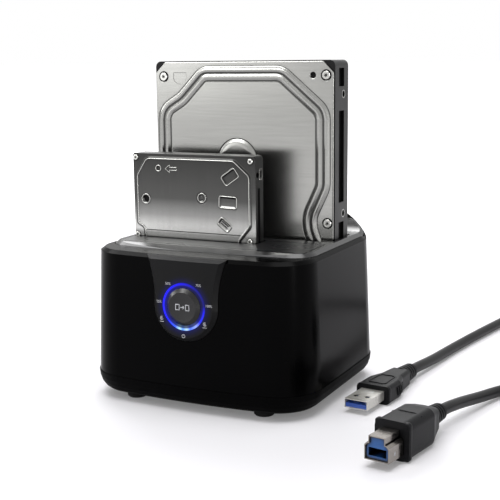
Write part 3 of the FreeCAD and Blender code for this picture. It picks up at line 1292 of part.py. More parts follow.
def cable_coil():
    """The cable's coiled length, as the closed ring that its turns fill."""
    half = COIL_SIDE / 2
    wire = Part.makeCircle(half, V(COIL_R, 0, half), V(0, 1, 0))
    coil = Part.Face(Part.Wire(wire)).revolve(V(0, 0, 0), V(0, 0, 1), 360)
    coil.translate(V(COIL_X, COIL_Y, 0))
    return coil


def plug_point(place, heading, along, axis_z):
    """A point on a plug's axis, a distance along it from the back of its shell."""
    turn = math.radians(heading)
    return (place[0] + along * math.cos(turn), place[1] + along * math.sin(turn), axis_z)


def save(name, shape):
    """Writes one part of the product, with the origin under the middle of the whole."""
    middle_y = (FACE_Y - BUTTON_PROUD + half_y_at(SEAM_Z) + BASE_PROUD) / 2
    shape.translate(V(0, -middle_y, 0))
    shape.exportStep("parts/" + name + ".step")


save("gloss_shell", gloss_shell())
save("top_deck", top_deck())
save("front_well", well(FRONT_BAY_Y, SMALL_SEAT_Z - GAP, SMALL_BACK_Y))
save("rear_well", well(REAR_BAY_Y, BIG_SEAT_Z - GAP, BIG_BACK_Y))
save("front_panel", front_panel())
save("rear_port_plate", rear_port_plate())
save("base_tray", base_tray())
save("rubber_feet", rubber_feet())
save("base_screws", base_screws())
save("main_board", main_board())
save("board_screws", board_screws())
save("board_components", board_components())
save("front_socket", sata_socket(SMALL_BACK_Y, SMALL_SEAT_Z))
save("rear_socket", sata_socket(BIG_BACK_Y, BIG_SEAT_Z))
save("usb_b_port", usb_b_port())
save("usb_b_core", usb_b_core())
save("dc_jack", dc_jack())
save("dc_jack_pin", dc_jack_pin())
save("switch_frame", switch_frame())
save("power_rocker", power_rocker())
save("light_ring", light_ring())
save("clone_button", clone_button())
save("tact_switch", tact_switch())
save("tact_plunger", tact_plunger())
save("led_board", led_board())
save("leds", leds())
save("led_board_screws", led_board_screws())
save("front_flap", front_flap())
save("rear_flap", rear_flap())
save("front_flap_pin", flap_pin(FRONT_BAY_Y))
save("rear_flap_pin", flap_pin(REAR_BAY_Y))
save("front_flap_spring", flap_spring(FRONT_BAY_Y))
save("rear_flap_spring", flap_spring(REAR_BAY_Y))
save("hdd_case", hdd_case())
save("hdd_cover", hdd_cover())
save("hdd_cover_screws", cover_screws(BIG_SCREWS, BIG_COVER_Y - BIG_COVER, BIG_SCREW_HEAD))
save("hdd_board", drive_board(BIG_LEFT, BIG_X, BIG_BACK_Y, BIG_SEAT_Z, BIG_BOARD))
save("hdd_connector", connector_housing(BIG_BACK_Y, BIG_SEAT_Z))
save("small_case", small_case())
save("small_cover", small_cover())
save("small_cover_screws", cover_screws(SMALL_SCREWS, SMALL_COVER_Y - SMALL_COVER, SMALL_SCREW_HEAD))
save("small_board", drive_board(SMALL_LEFT, SMALL_X, SMALL_BACK_Y, SMALL_SEAT_Z, SMALL_BOARD))
save("small_connector", connector_housing(SMALL_BACK_Y, SMALL_SEAT_Z))
save("usb_a_shell", usb_a_shell())
save("usb_a_tongue", usb_a_tongue())
save("usb_a_grip", usb_a_grip())
save("usb_b_shell", usb_b_shell())
save("usb_b_insert", usb_b_insert())
save("usb_b_grip", usb_b_grip())
start_a = plug_point(A_PLACE, A_HEADING, A_GRIP_X + RELIEF_SEAT, A_AXIS_Z)
start_b = plug_point(B_PLACE, B_HEADING, B_GRIP_X + RELIEF_SEAT, B_AXIS_Z)
lead_a = plug_point(A_PLACE, A_HEADING, A_STRAIGHT, A_AXIS_Z)
save("cable_a", cable_run("cable_a", [start_a, lead_a] + ROUTE_A))
lead_b = plug_point(B_PLACE, B_HEADING, B_STRAIGHT, B_AXIS_Z)
save("cable_b", cable_run("cable_b", [start_b, lead_b] + ROUTE_B))
save("cable_coil", cable_coil())
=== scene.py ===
import math

import bmesh
import bpy
from mathutils import Matrix, Vector


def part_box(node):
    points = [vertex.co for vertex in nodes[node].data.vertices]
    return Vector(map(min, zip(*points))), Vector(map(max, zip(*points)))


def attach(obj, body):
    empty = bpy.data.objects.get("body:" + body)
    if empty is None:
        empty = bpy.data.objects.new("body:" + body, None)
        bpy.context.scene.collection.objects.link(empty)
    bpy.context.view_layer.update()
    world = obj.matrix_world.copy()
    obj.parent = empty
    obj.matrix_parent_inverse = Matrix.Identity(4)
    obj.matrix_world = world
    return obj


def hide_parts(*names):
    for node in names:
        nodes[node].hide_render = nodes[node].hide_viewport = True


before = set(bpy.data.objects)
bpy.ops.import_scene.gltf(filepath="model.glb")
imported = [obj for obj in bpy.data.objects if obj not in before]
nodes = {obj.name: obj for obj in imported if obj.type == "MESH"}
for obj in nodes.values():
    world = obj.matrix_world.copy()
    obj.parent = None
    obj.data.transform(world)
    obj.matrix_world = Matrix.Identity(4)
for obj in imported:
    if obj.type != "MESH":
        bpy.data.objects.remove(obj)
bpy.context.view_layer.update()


# Stage: a white table and room, and six soft lamps, of which three only draw highlights. Seen
# directly, the table is lifted to white with distance, which keeps the shadows near the dock.
# None of it is part of the dock.

def fresh_material(name):
    """An empty node material: its maker of nodes, its links and its main shader."""
    material = bpy.data.materials.new(name)
    material.use_nodes = True
    tree = material.node_tree
    return material, tree.nodes.new, tree.links.new, tree.nodes["Principled BSDF"]


def seen_directly(make, join):
    """1 for rays that show the backdrop itself: from the camera, or by way of metal or glass."""
    path = make("ShaderNodeLightPath")
    total = path.outputs["Is Camera Ray"]
    for kind in ("Is Glossy Ray", "Is Transmission Ray"):
        add = make("ShaderNodeMath")
        add.operation = "MAXIMUM"
        join(total, add.inputs[0])
        join(path.outputs[kind], add.inputs[1])
        total = add.outputs[0]
    return total


TABLE_WHITE = (0.80, 0.79, 0.82)
NEAR_LIFT, FAR_LIFT = 0.16, 0.85
NEAR_RADIUS, FAR_RADIUS = 0.22, 0.9
TABLE_REACH = 30
TABLE_HEIGHT = -0.0002
table_finish, make, join, shader = fresh_material("table_white")
shader.inputs["Base Color"].default_value = (*TABLE_WHITE, 1)
shader.inputs["Roughness"].default_value = 0.9
spot = make("ShaderNodeTexCoord")
reach = make("ShaderNodeVectorMath")
reach.operation = "LENGTH"
grow = make("ShaderNodeMapRange")
grow.interpolation_type = "SMOOTHSTEP"
grow.inputs["From Min"].default_value = NEAR_RADIUS
grow.inputs["From Max"].default_value = FAR_RADIUS
grow.inputs["To Min"].default_value = NEAR_LIFT
grow.inputs["To Max"].default_value = FAR_LIFT
join(spot.outputs["Object"], reach.inputs[0])
join(reach.outputs["Value"], grow.inputs["Value"])
lift = make("ShaderNodeMath")
lift.operation = "MULTIPLY"
join(grow.outputs["Result"], lift.inputs[1])
join(seen_directly(make, join), lift.inputs[0])
shader.inputs["Emission Color"].default_value = (1, 1, 1, 1)
join(lift.outputs[0], shader.inputs["Emission Strength"])
table_mesh = bpy.data.meshes.new("table")
signs = [(-1, -1), (1, -1), (1, 1), (-1, 1)]
corners = [(x * TABLE_REACH, y * TABLE_REACH, TABLE_HEIGHT) for x, y in signs]
table_mesh.from_pydata(corners, [], [(0, 1, 2, 3)])
table_mesh.materials.append(table_finish)
table = bpy.data.objects.new("table", table_mesh)
bpy.context.scene.collection.objects.link(table)

DAYLIGHT = 0.34
world = bpy.data.worlds.new("white_room")
bpy.context.scene.world = world
world.use_nodes = True
make, join = world.node_tree.nodes.new, world.node_tree.links.new
ambient = world.node_tree.nodes["Background"]
ambient.inputs["Color"].default_value = (1, 1, 1, 1)
strength = make("ShaderNodeMath")
strength.operation = "MULTIPLY_ADD"
strength.inputs[1].default_value = 1 - DAYLIGHT
strength.inputs[2].default_value = DAYLIGHT
join(seen_directly(make, join), strength.inputs[0])
join(strength.outputs[0], ambient.inputs["Strength"])


def softbox(name, place, aim, width, height, watts, kicker=False):
    """A rectangular lamp at a place, turned to face a point. A kicker only draws highlights."""
    lamp = bpy.data.lights.new(name, "AREA")
    lamp.shape = "RECTANGLE"
    lamp.size, lamp.size_y, lamp.energy = width, height, watts
    holder = bpy.data.objects.new(name, lamp)
    holder.location = place
    holder.rotation_euler = (Vector(aim) - Vector(place)).to_track_quat("-Z", "Y").to_euler()
    holder.visible_diffuse = not kicker
    bpy.context.scene.collection.objects.link(holder)


softbox("rear_left", (-0.68, 0.98, 1.12), (0, 0, 0.08), width=1.1, height=0.8, watts=18)
softbox("overhead", (0.1, -0.1, 1.3), (0, 0, 0.05), width=1.0, height=0.7, watts=11)
softbox("front_left", (-0.80, -1.05, 0.30), (0, 0, 0.14), width=0.5, height=0.4, watts=1.6)
softbox("left_glow", (-0.85, 0.08, 0.72), (0, 0, 0.06), width=0.4, height=1.0, watts=8, kicker=True)
softbox("key_glow", (-0.56, -0.83, 0.95), (0, -0.02, 0.1), width=0.7, height=0.6, watts=16, kicker=True)
softbox("corner_strip", (0.75, -0.37, 0.26), (0, 0, 0.05), width=0.07, height=0.5, watts=3, kicker=True)

EYE_PLACE = (0.24356, -0.47805, 0.16703)
eye = bpy.data.objects.new("eye", bpy.data.cameras.new("eye"))
eye.data.sensor_width = 36
eye.data.lens = 76.23
eye.data.clip_start = 0.02
right = Vector((0.89821, 0.43943, -0.01099))
up = Vector((-0.06835, 0.16433, 0.98403))
ahead = Vector((-0.43422, 0.88312, -0.17764))
turn = Matrix((right, up, -ahead)).transposed()
eye.matrix_world = Matrix.Translation(EYE_PLACE) @ turn.to_4x4()
bpy.context.scene.collection.objects.link(eye)
bpy.context.scene.camera = eye
bpy.context.scene.view_settings.view_transform = "Standard"


# Skirt: the tall glossy black housing, injection moulded in ABS and polished, which stands
# on the base tray and is screwed to it from below.

CLOUD_SCALE = 45
HOLLOW_DARK, HOLLOW_OPEN = 0.66, 0.97
ROUGH_SPREAD = 0.2


def moulded(name, colour, rough, ior=1.5, grain=900.0, depth=0.00002, drift=0.12, metal=0.0,
            along=(1, 1, 1), brushed=0.0, across=(1, 0, 0), hollows=0.0):
    """A finish whose colour and roughness drift a little, with a fine grain.

    Painted shade darkens its hollows, over a reach of hollows metres. Its sheen is drawn out by
    brushed, along the direction across.
    """
    material, make, join, shader = fresh_material(name)
    place = make("ShaderNodeTexCoord")
    stretch = make("ShaderNodeMapping")
    stretch.inputs["Scale"].default_value = along
    join(place.outputs["Object"], stretch.inputs["Vector"])
    cloud, speck = make("ShaderNodeTexNoise"), make("ShaderNodeTexNoise")
    cloud.inputs["Scale"].default_value = CLOUD_SCALE
    cloud.inputs["Detail"].default_value = 4
    speck.inputs["Scale"].default_value = grain
    speck.inputs["Detail"].default_value = 2
    join(place.outputs["Object"], cloud.inputs["Vector"])
    join(stretch.outputs["Vector"], speck.inputs["Vector"])
    tint = make("ShaderNodeMix")
    tint.data_type = "RGBA"
    tint.inputs[6].default_value = (*[c * (1 - drift) for c in colour], 1)
    tint.inputs[7].default_value = (*[min(1, c * (1 + drift)) for c in colour], 1)
    join(speck.outputs["Fac"], tint.inputs["Factor"])
    colour_out = tint.outputs[2]
    # Painted shade: ambient occlusion darkens the colour in hollows and creases, where shade falls.
    if hollows:
        open_sky = make("ShaderNodeAmbientOcclusion")
        open_sky.inputs["Distance"].default_value = hollows
        open_sky.samples = 8
        painted_shade_tint = make("ShaderNodeMix")
        painted_shade_tint.data_type = "RGBA"
        painted_shade_tint.blend_type = "MULTIPLY"
        deepen = make("ShaderNodeMapRange")
        deepen.inputs["From Min"].default_value = HOLLOW_DARK
        deepen.inputs["From Max"].default_value = HOLLOW_OPEN
        join(open_sky.outputs["AO"], deepen.inputs["Value"])
        painted_shade_tint.inputs["Factor"].default_value = 1
        join(colour_out, painted_shade_tint.inputs[6])
        join(deepen.outputs["Result"], painted_shade_tint.inputs[7])
        colour_out = painted_shade_tint.outputs[2]
    join(colour_out, shader.inputs["Base Color"])
    sheen = make("ShaderNodeMapRange")
    sheen.inputs["To Min"].default_value = rough * (1 - ROUGH_SPREAD)
    sheen.inputs["To Max"].default_value = min(1, rough * (1 + ROUGH_SPREAD))
    join(cloud.outputs["Fac"], sheen.inputs["Value"])
    join(sheen.outputs["Result"], shader.inputs["Roughness"])
    relief = make("ShaderNodeBump")
    relief.inputs["Strength"].default_value = 1.0
    relief.inputs["Distance"].default_value = depth
    join(speck.outputs["Fac"], relief.inputs["Height"])
    join(relief.outputs["Normal"], shader.inputs["Normal"])
    if brushed:
        brush = make("ShaderNodeCombineXYZ")
        for axis, value in zip("XYZ", across):
            brush.inputs[axis].default_value = value
        join(brush.outputs["Vector"], shader.inputs["Tangent"])
        shader.inputs["Anisotropic"].default_value = brushed
    shader.inputs["Metallic"].default_value = metal
    shader.inputs["IOR"].default_value = ior
    return material


def dress(node, material):
    """Gives a CAD node its finish."""
    for place in nodes[node].material_slots:
        place.material = material


piano_black = moulded("piano_black", (0.0006, 0.0006, 0.0007), 0.20, ior=1.10, grain=60, depth=0.00001)
dress("gloss_shell", piano_black)


# Deck: the satin top moulding that clips into the skirt, with the two bay mouths and the
# swept rear, and the wells that hang below it.

satin_black = moulded("satin_black", (0.010, 0.010, 0.011), 0.24, ior=1.5, grain=2600, depth=0.00001)
dress("top_deck", satin_black)
well_black = moulded("well_black", (0.010, 0.010, 0.010), 0.6, grain=1400)
dress("front_well", well_black)
dress("rear_well", well_black)


# Flaps: satin plates on steel pins that close the bays when no drive stands in them, each
# sprung by a close-wound wire spring.

flap_black = moulded("flap_black", (0.010, 0.010, 0.011), 0.28, ior=1.45, grain=2600, depth=0.00001)
dress("front_flap", flap_black)
dress("rear_flap", flap_black)
bright_steel = moulded("bright_steel", (0.55, 0.55, 0.56), 0.24, metal=1.0, grain=1500)
spring_steel = moulded("spring_steel", (0.32, 0.31, 0.30), 0.3, metal=1.0, grain=1500)
dress("front_flap_pin", bright_steel)
dress("rear_flap_pin", bright_steel)
dress("front_flap_spring", spring_steel)
dress("rear_flap_spring", spring_steel)


# Base: the matte moulded tray with its vents, on four rubber feet that hide the screws put in
# from below. The screws are zinc-plated steel, as are those of the main board.

spark_black = moulded("spark_black", (0.0009, 0.0009, 0.0010), 0.5, ior=1.09, grain=2200, depth=0.00004)
dress("base_tray", spark_black)
foot_rubber = moulded("foot_rubber", (0.008, 0.008, 0.008), 0.85, ior=1.3, grain=1800, depth=0.00004)
dress("rubber_feet", foot_rubber)
zinc = moulded("zinc", (0.50, 0.49, 0.46), 0.35, metal=1.0, grain=1200)
dress("base_screws", zinc)
dress("board_screws", zinc)


# Circuit boards: glass-fibre boards with a green mask over copper traces, their chips and
# cans, and the two upright drive sockets.

def reopen(material):
    """The maker of nodes, the links and the main shader of a finish that gets more nodes."""
    tree = material.node_tree
    return tree.nodes.new, tree.links.new, tree.nodes["Principled BSDF"]


TRACE_SCALE = 230
TRACE_INNER, TRACE_OUTER = 0.03, 0.06
TRACE_GREEN = (0.035, 0.17, 0.06)
board_green = moulded("board_green", (0.008, 0.060, 0.022), 0.35, grain=500, drift=0.3)
make, join, shader = reopen(board_green)
spot = make("ShaderNodeTexCoord")
lay = make("ShaderNodeTexVoronoi")
lay.feature = "DISTANCE_TO_EDGE"
lay.inputs["Scale"].default_value = TRACE_SCALE
copper = make("ShaderNodeMix")
near = make("ShaderNodeMapRange")
near.inputs["From Min"].default_value = TRACE_INNER
near.inputs["From Max"].default_value = TRACE_OUTER
copper.data_type = "RGBA"
copper.inputs[6].default_value = (*TRACE_GREEN, 1)
under = shader.inputs["Base Color"].links[0].from_socket
join(spot.outputs["Object"], lay.inputs["Vector"])
join(lay.outputs["Distance"], near.inputs["Value"])
join(near.outputs["Result"], copper.inputs["Factor"])
join(under, copper.inputs[7])
join(copper.outputs[2], shader.inputs["Base Color"])
chip_black = moulded("chip_black", (0.018, 0.018, 0.02), 0.5, grain=1500)
socket_black = moulded("socket_black", (0.010, 0.010, 0.010), 0.45, grain=1500)
for node in ("main_board", "led_board", "hdd_board", "small_board"):
    dress(node, board_green)
for node in ("board_components", "tact_switch", "tact_plunger"):
    dress(node, chip_black)
for node in ("front_socket", "rear_socket", "hdd_connector", "small_connector"):
    dress(node, socket_black)


# Rear ports: a recessed matte plate round the data socket, the power inlet and the rocker
# switch, which snaps in from behind.

plate_black = moulded("plate_black", (0.010, 0.010, 0.010), 0.5, ior=1.4, grain=2200, depth=0.00003)
dress("rear_port_plate", plate_black)
dress("usb_b_port", bright_steel)
port_core = moulded("port_core", (0.03, 0.16, 0.62), 0.4, grain=1500)
dress("usb_b_core", port_core)
dress("dc_jack", socket_black)
dress("dc_jack_pin", bright_steel)
dress("switch_frame", satin_black)
dress("power_rocker", satin_black)


# Front panel: a matte shield with a fine spark texture, clipped into the skirt, with the
# numbers and signs of the copy's progress printed round the ring.

def fade_from(make, join, centre, near, far):
    """1 within near of a centre in the front's plane, falling to 0 at far."""
    place = make("ShaderNodeTexCoord")
    apart = make("ShaderNodeVectorMath")
    apart.operation = "MULTIPLY"
    apart.inputs[1].default_value = (1, 0, 1)
    across = make("ShaderNodeVectorMath")
    across.operation = "DISTANCE"
    across.inputs[1].default_value = (centre[0], 0, centre[1])
    join(place.outputs["Object"], apart.inputs[0])
    join(apart.outputs["Vector"], across.inputs[0])
    fall = make("ShaderNodeMapRange")
    fall.inputs["From Min"].default_value = far
    fall.inputs["From Max"].default_value = near
    join(across.outputs["Value"], fall.inputs["Value"])
    return fall.outputs["Result"]


ring_low, ring_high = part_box("light_ring")
RING_X, RING_Z = (ring_low.x + ring_high.x) / 2, (ring_low.z + ring_high.z) / 2
# Painted light: the panel glows faintly blue round the ring, fading with distance from its middle, in place
# of the ring's light falling on it.
GLOW_NEAR, GLOW_FAR = 0.0112, 0.0158
GLOW_FALL, GLOW_STRENGTH = 2.5, 0.10
GLOW_BLUE = (0.02, 0.03, 0.9)
panel_grey = moulded("panel_grey", (0.0026, 0.0026, 0.003), 0.42, ior=1.22, grain=2400, depth=0.00004,
                     drift=0.25)
make, join, shader = reopen(panel_grey)
shader.inputs["Emission Color"].default_value = (*GLOW_BLUE, 1)
soften = make("ShaderNodeMath")
soften.operation = "POWER"
soften.inputs[1].default_value = GLOW_FALL
join(fade_from(make, join, (RING_X, RING_Z), GLOW_NEAR, GLOW_FAR), soften.inputs[0])
dim = make("ShaderNodeMath")
dim.operation = "MULTIPLY"
dim.inputs[1].default_value = GLOW_STRENGTH
join(soften.outputs[0], dim.inputs[0])
join(dim.outputs[0], shader.inputs["Emission Strength"])
dress("front_panel", panel_grey)


def facing(place, out):
    """A frame at a place whose z points outward and whose y points up."""
    sideways = Vector((0, 0, 1)).cross(out).normalized()
    turn = Matrix((sideways, Vector(out).cross(sideways), out)).transposed()
    return Matrix.Translation(place) @ turn.to_4x4()


def on_face(node, x, z, lift=0.0):
    """The frame of a print: on a node's front at x and z."""
    hit, place, normal, _ = nodes[node].ray_cast(Vector((x, -1, z)), Vector((0, 1, 0)))
    if not hit:
        raise ValueError(node + " has no front there")
    return facing(place + lift * normal, normal)


PRINT_THICK, PRINT_LIFT = 0.00001, 0.00002


def figures(name, words, size, place, body, ink):
    """Flat printed figures, centred on their frame."""
    text = bpy.data.curves.new(name, "FONT")
    text.body = words
    text.size = size
    text.align_x = "CENTER"
    text.align_y = "CENTER"
    text.extrude = PRINT_THICK
    text.materials.append(ink)
    piece = bpy.data.objects.new(name, text)
    piece.matrix_world = place
    bpy.context.scene.collection.objects.link(piece)
    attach(piece, body)


def beads(name, lines, width, body, finish, place=None):
    """Round beads along lines of points (x, y, z), on a frame of their own if one is given."""
    curve = bpy.data.curves.new(name, "CURVE")
    curve.dimensions = "3D"
    curve.bevel_depth = width / 2
    curve.bevel_resolution = 2
    curve.use_fill_caps = True
    for points in lines:
        spline = curve.splines.new("POLY")
        spline.points.add(len(points) - 1)
        for point, spot in zip(spline.points, points):
            point.co = (*spot, 1)
    curve.materials.append(finish)
    piece = bpy.data.objects.new(name, curve)
    if place is not None:
        piece.matrix_world = place
    bpy.context.scene.collection.objects.link(piece)
    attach(piece, body)


def strokes(name, lines, width, place, body, ink, flat=0.2):
    """Flat strokes along lines of points (x, y), on their frame."""
    level = [[(x, y, 0) for x, y in points] for points in lines]
    beads(name, level, width, body, ink, place @ Matrix.Diagonal((1, 1, flat, 1)))


def laid_on(node, lines, x, z, steps=4):
    """Lines (across, up) round x and z, laid on a node's front point by point."""
    laid = []
    for line in lines:
        places = []
        for (a0, b0), (a1, b1) in zip(line, line[1:]):
            for step in range(steps):
                share = step / steps
                spot = (x + a0 + share * (a1 - a0), z + b0 + share * (b1 - b0))
                places.append(on_face(node, *spot).translation)
        places.append(on_face(node, x + line[-1][0], z + line[-1][1]).translation)
        laid.append(places)
    return laid


def arc_points(radius, start, end, count=16):
    """Points along an arc round the frame's middle, its angles in degrees."""
    step = math.radians(end - start) / count
    first = math.radians(start)
    return [(radius * math.cos(first + i * step), radius * math.sin(first + i * step))
            for i in range(count + 1)]


MARK_CIRCLE = 0.0135


def round_ring(angle):
    """The x and z of a mark beside the light ring, at an angle in degrees."""
    return (RING_X + MARK_CIRCLE * math.cos(math.radians(angle)),
            RING_Z + MARK_CIRCLE * math.sin(math.radians(angle)))


ink_white = moulded("ink_white", (0.62, 0.63, 0.66), 0.5, grain=3000, depth=0.000002)
FIGURE_SIZE = 0.0017
for words, angle in (("25%", 173.6), ("50%", 128.6), ("75%", 53.6), ("100%", 6.4)):
    place = on_face("front_panel", *round_ring(angle), PRINT_LIFT)
    figures("figure_" + words.rstrip("%"), words, FIGURE_SIZE, place, "dock", ink_white)
SIGN_WIDTH = 0.00028
SIGN_RADIUS = 0.0008
DOT_RADIUS = 0.0003
POWER_SIGN_DROP = 0.0140
for name, angle in (("source_sign", 208.0), ("target_sign", 327.6)):
    drawn = [arc_points(SIGN_RADIUS, 60, 330), arc_points(DOT_RADIUS, 0, 360, 8),
             [(-0.0011, -0.0017), (0.0011, -0.0017)]]
    laid = laid_on("front_panel", drawn, *round_ring(angle), 1)
    beads(name, laid, SIGN_WIDTH, "dock", ink_white)
drawn = [arc_points(SIGN_RADIUS, 115, 425), [(0, 0.0002), (0, 0.0010)]]
laid = laid_on("front_panel", drawn, RING_X, RING_Z - POWER_SIGN_DROP, 1)
beads("power_sign", laid, SIGN_WIDTH, "dock", ink_white)


# Light ring: a clear acrylic ring whose skirt brings the light of eight lamps on the board
# behind it to the front. It is blue, whitest at its foot and dim at its upper right.

def set_ramp(ramp, stops):
    """Puts (share, colour) stops on a fresh ramp."""
    points = ramp.color_ramp.elements
    points.remove(points[1])
    points[0].position = stops[0][0]
    points[0].color = (*stops[0][1], 1)
    for share, colour in stops[1:]:
        points.new(share).color = (*colour, 1)


ring_finish, make, join, shader = fresh_material("ring_light")
shader.inputs["Base Color"].default_value = (0.002, 0.003, 0.05, 1)
shader.inputs["Roughness"].default_value = 0.2
shader.inputs["IOR"].default_value = 1.25
spot = make("ShaderNodeTexCoord")
apart = make("ShaderNodeSeparateXYZ")
join(spot.outputs["Object"], apart.inputs["Vector"])
lower = make("ShaderNodeMath")
lower.operation = "SUBTRACT"
lower.inputs[0].default_value = RING_Z
join(apart.outputs["Z"], lower.inputs[1])
bearing = make("ShaderNodeMath")
bearing.operation = "ARCTAN2"
join(apart.outputs["X"], bearing.inputs[0])
join(lower.outputs[0], bearing.inputs[1])
around = make("ShaderNodeMapRange")
around.inputs["From Min"].default_value = -math.pi
around.inputs["From Max"].default_value = math.pi
join(bearing.outputs[0], around.inputs["Value"])
RING_LIGHT = [(0.00, (0.008, 0.006, 0.62)), (0.14, (0.012, 0.010, 0.95)), (0.27, (0.014, 0.012, 1.0)),
              (0.36, (0.010, 0.012, 0.90)), (0.43, (0.05, 0.12, 1.0)), (0.465, (0.45, 0.80, 1.0)),
              (0.49, (0.10, 0.30, 0.95)), (0.52, (0.50, 0.75, 1.0)), (0.55, (0.06, 0.16, 1.0)),
              (0.60, (0.30, 0.40, 1.0)), (0.64, (0.02, 0.03, 0.9)), (0.72, (0.010, 0.010, 0.75)),
              (0.77, (0.004, 0.004, 0.12)), (0.90, (0.006, 0.006, 0.20)), (1.00, (0.008, 0.006, 0.62))]
glow = make("ShaderNodeValToRGB")
set_ramp(glow, RING_LIGHT)
join(around.outputs["Result"], glow.inputs["Fac"])
join(glow.outputs["Color"], shader.inputs["Emission Color"])
CREST_NEAR, CREST_FAR = 0.0100, 0.0108
INNER_LIGHT, CREST_LIGHT = 0.16, 1.25
crest = make("ShaderNodeMapRange")
crest.interpolation_type = "SMOOTHSTEP"
crest.inputs["To Min"].default_value = INNER_LIGHT
crest.inputs["To Max"].default_value = CREST_LIGHT
join(fade_from(make, join, (RING_X, RING_Z), CREST_FAR, CREST_NEAR), crest.inputs["Value"])
join(crest.outputs["Result"], shader.inputs["Emission Strength"])
dress("light_ring", ring_finish)
lamp_white = moulded("lamp_white", (0.8, 0.8, 0.78), 0.3)
dress("leds", lamp_white)
dress("led_board_screws", zinc)


# Button: a cap with a polished bevel round a satin face, printed with a plain sign of one
# drive copied to another.

button_black = moulded("button_black", (0.004, 0.004, 0.0045), 0.24, ior=1.42, grain=2400, depth=0.00001)
dress("clone_button", button_black)


def mm(*values):
    """Millimetres as metres."""
    return tuple(value / 1000 for value in values)


COPY_SIGN_WIDTH = 0.00042
drives = [[mm(-3.6, -1.3), mm(-1.7, -1.3), mm(-1.7, 1.3), mm(-3.6, 1.3), mm(-3.6, -1.3)],
          [mm(1.7, -1.3), mm(3.6, -1.3), mm(3.6, 1.3), mm(1.7, 1.3), mm(1.7, -1.3)],
          [mm(-1.0, 0), mm(0.9, 0)],
          [mm(0.2, 0.7), mm(0.9, 0), mm(0.2, -0.7)]]
laid = laid_on("clone_button", drives, RING_X, RING_Z)
beads("copy_sign", laid, COPY_SIGN_WIDTH, "clone_button", ink_white)


# Large drive: a cast alloy body painted black, with a pressed and brushed steel cover. The
# cover is one sheet: a double bead round its middle, a spindle boss, and dished screw seats.

cast_black = moulded("cast_black", (0.0035, 0.0035, 0.0038), 0.38, ior=1.25, grain=900, depth=0.00003)
# Painted shade: the cover steel darkens in its hollows, and a dark steel colours the feet and valley of the
# bead and the rim of the boss, where shade falls.
cover_steel = moulded("cover_steel", (0.29, 0.29, 0.277), 0.22, metal=1.0, grain=1400, drift=0.10,
                      along=(0.04, 1, 1), depth=0.000002, brushed=0.7, hollows=0.0022)
screw_steel = moulded("screw_steel", (0.42, 0.42, 0.40), 0.25, metal=1.0, grain=900)
painted_shade_steel = moulded("painted_shade_steel", (0.05, 0.05, 0.048), 0.3, metal=1.0, grain=1400)
# Painted shade: a near-black finish for bores, slits, recesses, the crease, screw recesses and the plug's
# windows, where only shade is.
painted_shade_black = moulded("painted_shade_black", (0.003, 0.003, 0.003), 0.7, ior=1.2)
dress("hdd_case", cast_black)
dress("hdd_cover_screws", screw_steel)
LEAST_RADIUS = 0.0002


def corner_loop(corners, inset=0.0, steps=8):
    """A closed outline with round corners, from (x, z, radius) anticlockwise, moved inward."""
    sides = []
    for (x0, z0, _), (x1, z1, _) in zip(corners, corners[1:] + corners[:1]):
        along = Vector((x1 - x0, z1 - z0)).normalized()
        sides.append((Vector((x0, z0)) + inset * Vector((-along.y, along.x)), along))
    loop = []
    for (base, before), (start, after), (_, _, radius) in zip(sides[-1:] + sides[:-1], sides, corners):
        bend = math.atan2(before.cross(after), before.dot(after))
        reach = (start - base).cross(after) / before.cross(after)
        corner = base + reach * before
        hand = math.copysign(1, bend)
        radius = max(radius - hand * inset, LEAST_RADIUS)
        back = radius * math.tan(abs(bend) / 2)
        first = corner - back * before
        inward = hand * Vector((-before.y, before.x))
        middle = first + radius * inward
        for step in range(steps + 1):
            angle = bend * step / steps
            arm = -radius * inward
            arm.rotate(Matrix.Rotation(angle, 2))
            loop.append(middle + arm)
    return loop


def circle_loop(x, z, radius, steps=32):
    """A closed round outline, anticlockwise."""
    angles = [math.tau * i / steps for i in range(steps)]
    return [Vector((x + radius * math.cos(angle), z + radius * math.sin(angle))) for angle in angles]


def corner_rows(corners, profile, steps=8):
    """The loops of a profile of (inset, rise) along an outline with round corners."""
    return [(corner_loop(corners, inset, steps), rise) for inset, rise in profile]


def circle_rows(place, profile, steps=32):
    """The loops of a profile of (radius, rise) round a place."""
    return [(circle_loop(*place, radius, steps), rise) for radius, rise in profile]


def add_rows(form, face_y, rows, shaded_bands=()):
    """Loops of one length at their rises above a face, skinned in order. Returns the end loops.

    The bands whose numbers are listed last get the third finish, a painted shade.
    """
    made = [[form.verts.new((point.x, face_y - rise, point.y)) for point in loop] for loop, rise in rows]
    for number, (before, after) in enumerate(zip(made, made[1:])):
        count = len(before)
        for i in range(count):
            j = (i + 1) % count
            face = form.faces.new((before[i], before[j], after[j], after[i]))
            face.smooth = True
            face.material_index = 2 if number in shaded_bands else 0
    return made[0], made[-1]


def ring_edges(form, loop):
    """The edges of a closed loop of vertices."""
    found = []
    for start, end in zip(loop, loop[1:] + loop[:1]):
        edge = form.edges.get((start, end))
        found.append(edge or form.edges.new((start, end)))
    return found


def fill(form, *loops, finish=0):
    """A flat sheet inside the first loop, with the others as holes in it."""
    edges = [edge for loop in loops for edge in ring_edges(form, loop)]
    made = bmesh.ops.triangle_fill(form, edges=edges, use_beauty=True, normal=(0, -1, 0))
    for face in made["geom"]:
        if isinstance(face, bmesh.types.BMFace):
            face.material_index = finish


def piece_from(name, form, body, slot, *finishes):
    """Turns a built form into a piece that rides on a body."""
    bmesh.ops.recalc_face_normals(form, faces=form.faces)
    mesh = bpy.data.meshes.new(name)
    form.to_mesh(mesh)
    form.free()
    for finish in finishes:
        mesh.materials.append(finish)
    piece = bpy.data.objects.new(name, mesh)
    bpy.context.scene.collection.objects.link(piece)
    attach(piece, body)
    return piece


